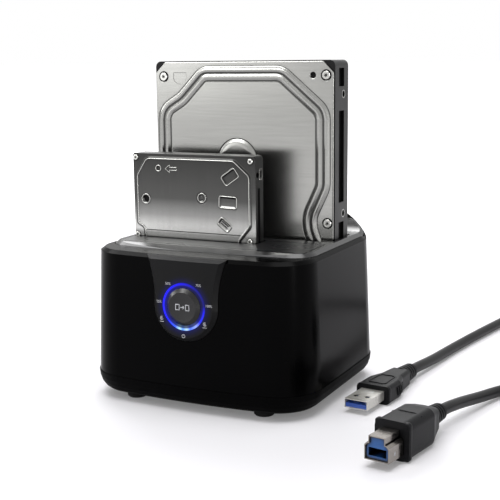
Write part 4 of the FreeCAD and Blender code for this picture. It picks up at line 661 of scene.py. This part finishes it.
cover_low, cover_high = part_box("hdd_cover")
SHEET_RISE = 0.0014
COVER_THICK = 0.0010
COVER_CUT = 0.0055
COVER_CORNER = 0.0010
BEAD_CONTOUR = [mm(*corner) for corner in (
    (-48.9, 32.0, 6.0), (46.6, 32.0, 6.0), (46.6, 69.0, 14.0), (40.4, 86.0, 12.0), (48.4, 103.0, 14.0),
    (48.4, 142.4, 12.0), (23.8, 163.3, 12.0), (-23.5, 163.3, 10.0), (-37.0, 149.6, 13.0),
    (-48.9, 142.5, 12.0))]
BEAD = [mm(*row) for row in (
    (-0.5, 0.0), (-0.1, 0.04), (0.4, 0.32), (0.9, 0.74), (1.5, 0.98), (2.1, 0.96), (2.7, 0.66), (3.2, 0.46),
    (3.8, 0.50), (4.4, 0.80), (5.0, 1.0), (5.7, 0.98), (6.3, 0.72), (6.8, 0.44), (7.2, 0.34), (7.6, 0.42),
    (7.9, 0.5))]
# Bands of the bead and the hub rows below that take painted shade.
BEAD_SHADED_BANDS = (0, 6, 7, 13, 14)
HUB = (-0.0025, 0.1156)
HUB_ROWS = [mm(*row) for row in ((11.6, 0.5), (11.3, 0.36), (11.0, 0.40), (10.5, 0.85), (9.8, 1.2),
                                 (8.8, 1.36), (7.5, 1.4))]
HUB_SHADED_BANDS = (0, 1)
SCREW_SEATS = [mm(-45.6, 158.3), mm(46.4, 158.8), mm(47.2, 85.4), mm(-46.0, 25.5), mm(46.0, 25.5)]
SEAT_ROWS = [mm(*row) for row in ((2.9, 0), (2.7, -0.12), (2.4, -0.22), (1.2, -0.22))]
VENT = mm(39.4, 158.8)
VENT_ROWS = [mm(*row) for row in ((1.9, 0), (1.65, -0.08), (1.5, -0.25), (1.45, -0.9))]
STAMP = [mm(*corner) for corner in ((-39.9, 160.6, 0.6), (-39.9, 156.5, 3.2), (-35.9, 152.9, 3.9),
                                    (-31.9, 156.5, 3.2), (-31.9, 160.6, 0.6))]
STAMP_ROWS = [mm(*row) for row in ((0, 0), (0.2, -0.07), (0.45, -0.10))]

x0, x1, z0, z1 = cover_low.x, cover_high.x, cover_low.z, cover_high.z
sheet_y = cover_low.y + SHEET_RISE
sheet_corners = [(x0, z0), (x1, z0), (x1, z1 - COVER_CUT), (x1 - COVER_CUT, z1), (x0 + COVER_CUT, z1),
                 (x0, z1 - COVER_CUT)]
sheet_outline = [(x, z, COVER_CORNER) for x, z in sheet_corners]
sheet_edge = [(0, -COVER_THICK), mm(0, -0.2), mm(0.1, -0.06), mm(0.3, 0)]
form = bmesh.new()
_, rim = add_rows(form, sheet_y, corner_rows(sheet_outline, sheet_edge))
bead_out, bead_in = add_rows(form, sheet_y, corner_rows(BEAD_CONTOUR, BEAD), BEAD_SHADED_BANDS)
holes = []
for place in SCREW_SEATS:
    mouth, _ = add_rows(form, sheet_y, circle_rows(place, SEAT_ROWS, 24))
    holes.append(mouth)
# Painted shade: the vent's floor is near black.
mouth, floor = add_rows(form, sheet_y, circle_rows(VENT, VENT_ROWS, 24))
fill(form, floor, finish=1)
holes.append(mouth)
mouth, floor = add_rows(form, sheet_y, corner_rows(STAMP, STAMP_ROWS))
fill(form, floor)
holes.append(mouth)
fill(form, rim, bead_out, *holes)
hub_out, hub_top = add_rows(form, sheet_y, circle_rows(HUB, HUB_ROWS, 64), HUB_SHADED_BANDS)
fill(form, bead_in, hub_out)
fill(form, hub_top)
cover = piece_from("large_cover", form, "large_drive", "cover_steel", cover_steel, painted_shade_black, painted_shade_steel)
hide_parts("hdd_cover")

STAR_RADIUS = 0.0009
HEAD_GAP_RADIUS = 0.0023
MARK_WIDTH = 0.0004
STAR = [[(STAR_RADIUS * math.cos(a), STAR_RADIUS * math.sin(a)),
         (-STAR_RADIUS * math.cos(a), -STAR_RADIUS * math.sin(a))]
        for a in (0.3, 0.3 + math.pi / 3, 0.3 + math.tau / 3)]
# Painted shade: dark strokes for each screw's star recess and the gap round its head.
for number, place in enumerate(SCREW_SEATS):
    drawn = STAR + [arc_points(HEAD_GAP_RADIUS, 0, 360, 24)]
    strokes(f"large_screw_shade_{number}", drawn, MARK_WIDTH, on_face("hdd_cover_screws", *place),
            "large_drive", painted_shade_black)
case_low, case_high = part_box("hdd_case")
TAPPED_HEIGHTS = mm(28.5, 70.1, 130.1)
TAPPED_IN = 0.0063
RIM_RADIUS, RIM_WIDTH, RIM_SINK = 0.0019, 0.0005, 0.00004
for side, word, face in ((1, "right", case_high.x), (-1, "left", case_low.x)):
    for number, height in enumerate(TAPPED_HEIGHTS):
        place = Vector((face - side * RIM_SINK, case_high.y - TAPPED_IN, case_low.z + height))
        strokes(f"tapped_rim_{number}_{word}", [arc_points(RIM_RADIUS, 0, 360, 24)], RIM_WIDTH,
                facing(place, Vector((side, 0, 0))), "large_drive", screw_steel)


# Small drive: a thin cast body in bare alloy, with a stamped steel cover. The cover is one
# sheet with a lip, pressed frames and rings; its colour runs from bright near the deck to
# dark at the top, a painted reflection, and painted shade darkens its hollows and the lip's
# outer foot.

cast_bare = moulded("cast_bare", (0.045, 0.045, 0.046), 0.34, metal=1.0, grain=900, depth=0.00002)
stamped_steel = moulded("stamped_steel", (0.50, 0.50, 0.485), 0.20, metal=1.0, grain=1400, drift=0.10,
                        along=(1, 1, 0.04), depth=0.000002, brushed=0.5, across=(0, 0, 1), hollows=0.0015)
# Painted reflection: a ramp over height multiplies the cover's colour, bright in a band near the deck and
# dark at the top.
TONE_FOOT, TONE_TOP = 0.070, 0.120
make, join, shader = reopen(stamped_steel)
spot = make("ShaderNodeTexCoord")
part = make("ShaderNodeSeparateXYZ")
height = make("ShaderNodeMapRange")
height.inputs["From Min"].default_value = TONE_FOOT
height.inputs["From Max"].default_value = TONE_TOP
painted_reflection = make("ShaderNodeValToRGB")
overlay = make("ShaderNodeMix")
PAINTED_REFLECTION = [(0.0, 0.40), (0.19, 0.46), (0.225, 0.90), (0.28, 0.80), (0.38, 0.42), (0.55, 0.13), (1.0, 0.06)]
set_ramp(painted_reflection, [(share, (grey, grey, grey)) for share, grey in PAINTED_REFLECTION])
overlay.data_type = "RGBA"
overlay.blend_type = "MULTIPLY"
overlay.inputs["Factor"].default_value = 1
under = shader.inputs["Base Color"].links[0].from_socket
join(spot.outputs["Object"], part.inputs["Vector"])
join(part.outputs["Z"], height.inputs["Value"])
join(height.outputs["Result"], painted_reflection.inputs["Fac"])
join(under, overlay.inputs[6])
join(painted_reflection.outputs["Color"], overlay.inputs[7])
join(overlay.outputs[2], shader.inputs["Base Color"])
# Painted highlight: a brighter copy of the cover's steel for its crests and its arrow.
painted_highlight_steel = moulded("painted_highlight_steel", (0.42, 0.42, 0.40), 0.25, metal=1.0, grain=1400)
dress("small_case", cast_bare)
dress("small_cover_screws", screw_steel)
small_low, small_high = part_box("small_cover")
SMALL_PRESS = 0.0005
SMALL_CORNER = 0.0012
SMALL_CONTOUR = [mm(*corner) for corner in (
    (-49.2, 25.0, 3.0), (10.2, 25.0, 3.0), (10.2, 77.6, 3.0), (16.3, 85.0, 4.0), (16.3, 110.6, 4.0),
    (7.2, 118.3, 4.0), (-43.2, 118.3, 4.0), (-49.2, 109.0, 4.0), (-49.2, 83.8, 1.2), (-45.0, 81.5, 3.0),
    (-45.0, 74.1, 3.0), (-49.2, 71.8, 1.2))]
LIP = [mm(*row) for row in ((-0.6, 0), (-0.35, -0.05), (-0.1, 0.02), (0.15, 0.2), (0.4, 0.42), (0.65, 0.5),
                            (0.95, 0.5), (1.2, 0.40), (1.45, 0.34))]
# Bands at the lip's outer foot that take painted shade.
LIP_SHADED_BANDS = (0, 1)
PLATE_RISE = 0.34      # millimetres, as the rows below
BOSS_ROWS = [mm(*row) for row in ((3.3, PLATE_RISE), (3.0, 0.26), (2.7, 0.42), (2.3, 0.5), (1.9, 0.46),
                                  (1.65, 0.2), (1.5, -0.3))]
PIVOT_ROWS = [mm(*row) for row in ((3.3, PLATE_RISE), (3.05, 0.22), (2.75, 0.24), (2.45, 0.44), (2.1, 0.5),
                                   (1.8, 0.42), (1.6, 0.2), (0.9, 0.2), (0.7, 0.36))]
DIMPLE_ROWS = [mm(*row) for row in ((1.9, PLATE_RISE), (1.7, 0.46), (1.4, 0.5), (1.15, 0.36), (1.0, 0.1))]
FRAME_ROWS = [mm(*row) for row in ((-0.5, PLATE_RISE), (-0.25, 0.44), (0.1, 0.5), (0.45, 0.47), (0.75, 0.26),
                                   (1.0, 0.08), (1.2, 0.06))]
BOSS, PIVOT, DIMPLE = mm(-43.6, 96.7), mm(-10.9, 98.5), mm(-35.8, 112.7)
FRAME_CORNER = 0.0011


def tilted_box(x, z, width, height, degrees, radius):
    """The corners of a turned rectangle with round corners, anticlockwise."""
    turn = Matrix.Rotation(math.radians(degrees), 2)
    signs = ((-1, -1), (1, -1), (1, 1), (-1, 1))
    arms = [turn @ Vector((a * width / 2, b * height / 2)) for a, b in signs]
    return [(x + arm.x, z + arm.y, radius) for arm in arms]


FRAMES = [tilted_box(*mm(5.1, 109.7, 9.0, 5.5), 35, FRAME_CORNER),
          tilted_box(*mm(3.8, 96.9, 10.0, 6.0), -2, FRAME_CORNER),
          tilted_box(*mm(1.8, 85.6, 7.4, 4.4), -38, FRAME_CORNER)]
plate_y = small_low.y + SMALL_PRESS
x0, x1, z0, z1 = small_low.x, small_high.x, small_low.z, small_high.z
sheet_outline = [(x, z, SMALL_CORNER) for x, z in ((x0, z0), (x1, z0), (x1, z1), (x0, z1))]
sheet_edge = [(0, plate_y - small_high.y), mm(0, -0.15), mm(0.1, -0.04), mm(0.25, 0)]
form = bmesh.new()
_, rim = add_rows(form, plate_y, corner_rows(sheet_outline, sheet_edge))
lip_out, lip_in = add_rows(form, plate_y, corner_rows(SMALL_CONTOUR, LIP), LIP_SHADED_BANDS)
fill(form, rim, lip_out)
holes = []
# Painted shade: the boss's bore has a near-black floor.
for place, profile, finish in ((BOSS, BOSS_ROWS, 1), (PIVOT, PIVOT_ROWS, 0), (DIMPLE, DIMPLE_ROWS, 0)):
    mouth, floor = add_rows(form, plate_y, circle_rows(place, profile))
    fill(form, floor, finish=finish)
    holes.append(mouth)
for box in FRAMES:
    mouth, floor = add_rows(form, plate_y, corner_rows(box, FRAME_ROWS, 5))
    fill(form, floor)
    holes.append(mouth)
fill(form, lip_in, *holes)
cover = piece_from("small_drive_cover", form, "small_drive", "cover_steel", stamped_steel, painted_shade_black,
                   painted_shade_steel)
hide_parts("small_cover")

FORWARD = Vector((0, -1, 0))
CREST_RISE = 0.00046
CREST_WIDTH = 0.00042
LIP_CREST_IN, FRAME_CREST_IN = 0.0008, 0.0001
BOSS_CREST, PIVOT_CREST, DIMPLE_CREST = mm(2.4, 2.2, 1.5)
plate_front = facing(Vector((0, plate_y - PLATE_RISE / 1000, 0)), FORWARD)
crest_front = facing(Vector((0, plate_y - CREST_RISE, 0)), FORWARD)
# Painted highlights: bright strokes along the crests of the lip, the frames and the rings.
crests = [corner_loop(SMALL_CONTOUR, LIP_CREST_IN)]
crests += [corner_loop(box, FRAME_CREST_IN, 5) for box in FRAMES]
for centre, radius in ((BOSS, BOSS_CREST), (PIVOT, PIVOT_CREST), (DIMPLE, DIMPLE_CREST)):
    crests.append(circle_loop(*centre, radius))
strokes("small_cover_crests", [line + line[:1] for line in crests], CREST_WIDTH, crest_front, "small_drive",
        painted_highlight_steel, flat=0.5)
# Painted highlight: the pressed arrow is drawn in the brighter steel.
arrow = [[mm(-25.2, 113.3), mm(-29.3, 113.3), mm(-29.3, 114.6), mm(-31.8, 112.6), mm(-29.3, 110.6),
          mm(-29.3, 111.9), mm(-25.2, 111.9)]]
strokes("small_cover_arrow", arrow, MARK_WIDTH, plate_front, "small_drive", painted_highlight_steel,
        flat=0.4)
# Painted shade: a dark stroke along the crease.
crease = [[mm(-44.2, 80.7), mm(12.2, 80.7)]]
strokes("small_cover_crease", crease, MARK_WIDTH, plate_front, "small_drive", painted_shade_black,
        flat=0.1)
# Painted shade: the slits are dark strokes.
SLITS_PLACE = (0.0018, plate_y - 0.00008, 0.0856)
SLITS_TURN = -0.66
SLIT_WIDTH = 0.0006
slits = [[mm(-2.2, 0.5), mm(2.2, 0.5)], [mm(-2.2, -0.6), mm(2.2, -0.6)]]
place = facing(Vector(SLITS_PLACE), FORWARD) @ Matrix.Rotation(SLITS_TURN, 4, "Z")
strokes("small_cover_slits", slits, SLIT_WIDTH, place, "small_drive", painted_shade_black)
SMALL_SCREWS = [mm(-49.3, 117.9), mm(16.2, 117.6), mm(-49.2, 77.8), mm(15.6, 77.8), mm(-49.2, 22.4),
                mm(15.6, 22.4)]
SMALL_STAR_SHARE = 0.7
SMALL_GAP_RADIUS = 0.0014
SMALL_MARK_WIDTH = 0.0003
# Painted shade: dark strokes for each screw's star recess and the gap round its head.
for number, place in enumerate(SMALL_SCREWS):
    drawn = [[(SMALL_STAR_SHARE * x, SMALL_STAR_SHARE * z) for x, z in line] for line in STAR]
    drawn.append(arc_points(SMALL_GAP_RADIUS, 0, 360, 24))
    strokes(f"small_screw_shade_{number}", drawn, SMALL_MARK_WIDTH, on_face("small_cover_screws", *place),
            "small_drive", painted_shade_black)
_, slim_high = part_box("small_case")
# Painted shade: the side recess is a flat dark strip, with a steel rim round it.
RECESS_Y, RECESS_Z = -0.0080, 0.1110
RECESS_WIDTH, RECESS_RIM_WIDTH = 0.0020, 0.0005
latch = facing(Vector((slim_high.x, RECESS_Y, RECESS_Z)), Vector((1, 0, 0)))
hollow = [[mm(0, -1.6), mm(0, 1.6)]]
strokes("small_side_recess", hollow, RECESS_WIDTH, latch, "small_drive", painted_shade_black,
        flat=0.02)
outline = [[mm(-1.4, -2.6), mm(1.4, -2.6), mm(1.4, 2.6), mm(-1.4, 2.6), mm(-1.4, -2.6)]]
strokes("small_side_rim", outline, RECESS_RIM_WIDTH, latch, "small_drive", screw_steel)


# Data cable: a round black cord with moulded plugs, A at one end and B at the other. What is
# not laid out in front is wound up in three turns, which a flat band holds.

jacket = moulded("jacket", (0.0055, 0.0055, 0.0065), 0.36, ior=1.24, grain=1600)
grip_black = moulded("grip_black", (0.0050, 0.0052, 0.0064), 0.46, ior=1.22, grain=2200, depth=0.00004)
plug_blue = moulded("plug_blue", (0.025, 0.10, 0.50), 0.4, grain=1500)
# Painted shade: the blue insert and the nickel shell darken in their hollows.
insert_blue = moulded("insert_blue", (0.015, 0.12, 0.40), 0.35, grain=1500, hollows=0.004)
plug_steel = moulded("plug_steel", (0.60, 0.59, 0.55), 0.28, metal=0.6, grain=700)
plug_nickel = moulded("plug_nickel", (0.26, 0.24, 0.22), 0.18, metal=1.0, grain=700, hollows=0.0012)
dress("usb_a_shell", plug_steel)
dress("usb_b_shell", plug_nickel)
dress("usb_a_tongue", plug_blue)
dress("usb_b_insert", insert_blue)
dress("usb_a_grip", grip_black)
dress("usb_b_grip", grip_black)


def plug_frame(x, y, z, heading):
    """The frame of a plug: its x runs from the grip's front back to the cord."""
    return Matrix.Translation((x, y, z)) @ Matrix.Rotation(math.radians(heading), 4, "Z")


def sleeve(name, place, width, height, rows, radius, slot, finish):
    """A band round a grip: rounded rectangles at (x, growth) along it."""
    form = bmesh.new()
    box = tilted_box(0, 0, width, height, 0, radius)
    add_rows(form, 0, corner_rows(box, [(-growth, -x) for x, growth in rows], 5))
    for vertex in form.verts:
        vertex.co = Vector((vertex.co.y, -vertex.co.x, vertex.co.z))
    form.transform(place)
    piece_from(name, form, "dock", slot, finish)


DOCK_TO_ROW = 0.0007957
plug_a = plug_frame(0.0770, -0.0054 + DOCK_TO_ROW, 0.0047, 84)
plug_b = plug_frame(0.1093, -0.0727 + DOCK_TO_ROW, 0.0087, 80)
LIP_ROWS = [mm(*row) for row in ((0.1, -1.2), (0.05, -0.5), (0.2, -0.1), (0.5, 0.1), (2.0, 0.1), (2.3, 0.0),
                                 (2.4, -0.3))]
sleeve("grip_a_lip", plug_a, width=0.0175, height=0.0088, rows=LIP_ROWS, radius=0.0016,
       slot="grip_black", finish=grip_black)
sleeve("grip_b_lip", plug_b, width=0.0166, height=0.0168, rows=LIP_ROWS, radius=0.0014,
       slot="grip_black", finish=grip_black)

BEAD_LIFT = 0.00012
RAY_REACH = 0.03
RIB_START, RIB_PITCH, RIB_SLANT, RIB_HALF, RIB_WIDTH = mm(9.5, 2.2, 1.2, 2.2, 1.1)
GRIP_BEAD = 0.0006


def on_grip(node, plug, start, toward):
    """Where a ray inside a plug's frame meets its grip, a little outside the face."""
    origin = plug @ Vector(start)
    hit, place, normal, _ = nodes[node].ray_cast(origin, plug.to_3x3() @ Vector(toward))
    if not hit:
        raise ValueError(node + " is not there")
    return place + BEAD_LIFT * normal


for side, name in ((1, "left"), (-1, "right")):
    for number in range(5):
        points = []
        for part in (0.0, 0.5, 1.0):
            along = RIB_START + RIB_PITCH * number + RIB_SLANT * part
            start = (along, side * RAY_REACH, RIB_HALF - 2 * RIB_HALF * part)
            points.append(on_grip("usb_a_grip", plug_a, start, (0, -side, 0)))
        beads(f"grip_a_rib_{name}_{number}", [points], RIB_WIDTH, "dock", grip_black)
frame_line = [mm(5, -4.6), mm(17, -4.0), mm(18, -3), mm(18, 3), mm(17, 4.0), mm(5, 4.6), mm(4, 3.6),
              mm(4, -3.6), mm(5, -4.6)]
points = [on_grip("usb_a_grip", plug_a, (x, y, RAY_REACH), (0, 0, -1)) for x, y in frame_line]
beads("grip_a_frame", [points], GRIP_BEAD, "dock", grip_black)
step_line = [mm(13.5, y) for y in (-7.2, -3.5, 0, 3.5, 7.2)]
points = [on_grip("usb_b_grip", plug_b, (x, y, RAY_REACH), (0, 0, -1)) for x, y in step_line]
beads("grip_b_step", [points], GRIP_BEAD, "dock", grip_black)

# Painted shade: dark sheets just under the shell's top fill its two windows, where only shade is.
WINDOW_MIDDLE = -0.0187 + 0.0056
WINDOW_HALF = 0.0007
WINDOW_WIDTH, SIDE_WINDOW_WIDTH = 0.0024, 0.0011
WINDOW_FACE, SHELL_TOP = 0.00222, 0.00225
windows = [[(WINDOW_MIDDLE - WINDOW_HALF, y), (WINDOW_MIDDLE + WINDOW_HALF, y)] for y in mm(-2.9, 2.9)]
strokes("plug_a_window_shade", windows, WINDOW_WIDTH, plug_a @ Matrix.Translation((0, 0, WINDOW_FACE)),
        "dock", painted_shade_black, flat=0.03)
label = [[mm(-5.2, -1.9), mm(-3.0, -1.9), mm(-3.0, 1.9), mm(-5.2, 1.9), mm(-5.2, -1.9)]]
strokes("plug_a_stamp", label, MARK_WIDTH, plug_a @ Matrix.Translation((0, 0, SHELL_TOP)), "dock",
        ink_white, flat=0.1)
side_b = plug_b @ facing(Vector(mm(-8.0, -5.8, -2.2)), FORWARD)
strokes("plug_b_window", [[mm(0, -0.8), mm(0, 0.8)]], SIDE_WINDOW_WIDTH, side_b, "dock",
        ink_white, flat=0.1)

CORD_THICK = 0.0055
FROM_A = [(0.0807, 0.0302, 0.0047), (0.0822, 0.0451, 0.0047), (0.0850, 0.0668, 0.0034),
          (0.0883, 0.0988, 0.0028), (0.0936, 0.1348, 0.0028), (0.0996, 0.1688, 0.0028),
          (0.1031, 0.1885, 0.0028), (0.1170, 0.2029, 0.0028), (0.1366, 0.2071, 0.0028),
          (0.1551, 0.1996, 0.0028), (0.1663, 0.1830, 0.0028), (0.1663, 0.1630, 0.0028),
          (0.1652, 0.1348, 0.0028), (0.1634, 0.1088, 0.0028), (0.1608, 0.0868, 0.0028)]
TO_B = [(0.1572, 0.0722, 0.0086), (0.1510, 0.0588, 0.0060), (0.1420, 0.0460, 0.0028),
        (0.1315, 0.0328, 0.0028), (0.1253, 0.0118, 0.0044), (0.1215, -0.0042, 0.0066),
        (0.1178, -0.0236, 0.0087), (0.1156, -0.0365, 0.0087)]
COIL_MIDDLE = (0.1930, 0.0788)
COIL_STEPS = 16
COIL_POINTS = 48
BERTHS = [(0.0330, 0.0028), (0.0271, 0.0028), (0.0271, 0.0086), (0.0330, 0.0086)]
SHIFTS = [0.745, 1.575, 2.405]
SHIFT_LENGTH = 0.18


def coil_point(step):
    """One point of the coil: a place round it, and the berth that its turn lies in."""
    turns = step / COIL_STEPS
    across, height = BERTHS[0]
    for begin, (low, high) in zip(SHIFTS, zip(BERTHS, BERTHS[1:])):
        share = min(1, max(0, (turns - begin) / SHIFT_LENGTH))
        ease = share * share * (3 - 2 * share)
        across += ease * (high[0] - low[0])
        height += ease * (high[1] - low[1])
    across /= math.cos(math.pi / COIL_STEPS)
    angle = math.pi + math.tau * turns
    return (COIL_MIDDLE[0] + across * math.cos(angle), COIL_MIDDLE[1] + across * math.sin(angle), height)


coiled = [coil_point(step + 0.5) for step in range(COIL_POINTS)]
cord_line = bpy.data.curves.new("cord_line", "CURVE")
cord_line.dimensions = "3D"
cord_line.bevel_depth = CORD_THICK / 2
cord_line.bevel_resolution = 6
cord_line.resolution_u = 8
run = cord_line.splines.new("NURBS")
route = FROM_A + coiled + TO_B
run.points.add(len(route) - 1)
for point, place in zip(run.points, route):
    point.co = (*place, 1)
run.order_u = 3
run.use_endpoint_u = True
cord_line.materials.append(jacket)
cord = bpy.data.objects.new("data_cord", cord_line)
bpy.context.scene.collection.objects.link(cord)
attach(cord, "dock")
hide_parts("cable_a", "cable_b", "cable_coil")

TIE_OUT, TIE_HEIGHT = 0.03005, 0.0058
TIE_MIDDLE = (COIL_MIDDLE[0] + TIE_OUT, COIL_MIDDLE[1], TIE_HEIGHT)
TIE_HALF = (0.0061, 0.00562)
TIE_POINTS = 20
TIE_SQUARENESS = 0.6
TIE_WIDTH = 0.0030
TIE_EDGE = 0.0002
tie_line = bpy.data.curves.new("tie_line", "CURVE")
tie_line.dimensions = "3D"
tie_line.extrude = TIE_WIDTH / 2
tie_line.bevel_depth = TIE_EDGE
tie_line.resolution_u = 6
loop = tie_line.splines.new("NURBS")
loop.points.add(TIE_POINTS - 1)
for number, point in enumerate(loop.points):
    angle = math.tau * number / TIE_POINTS
    x = TIE_HALF[0] * math.copysign(abs(math.cos(angle)) ** TIE_SQUARENESS, math.cos(angle))
    z = TIE_HALF[1] * math.copysign(abs(math.sin(angle)) ** TIE_SQUARENESS, math.sin(angle))
    point.co = (x, z, 0, 1)
loop.order_u = 3
loop.use_cyclic_u = True
tie_line.materials.append(jacket)
tie = bpy.data.objects.new("cable_tie", tie_line)
tie.matrix_world = facing(Vector(TIE_MIDDLE), FORWARD)
bpy.context.scene.collection.objects.link(tie)
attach(tie, "dock")
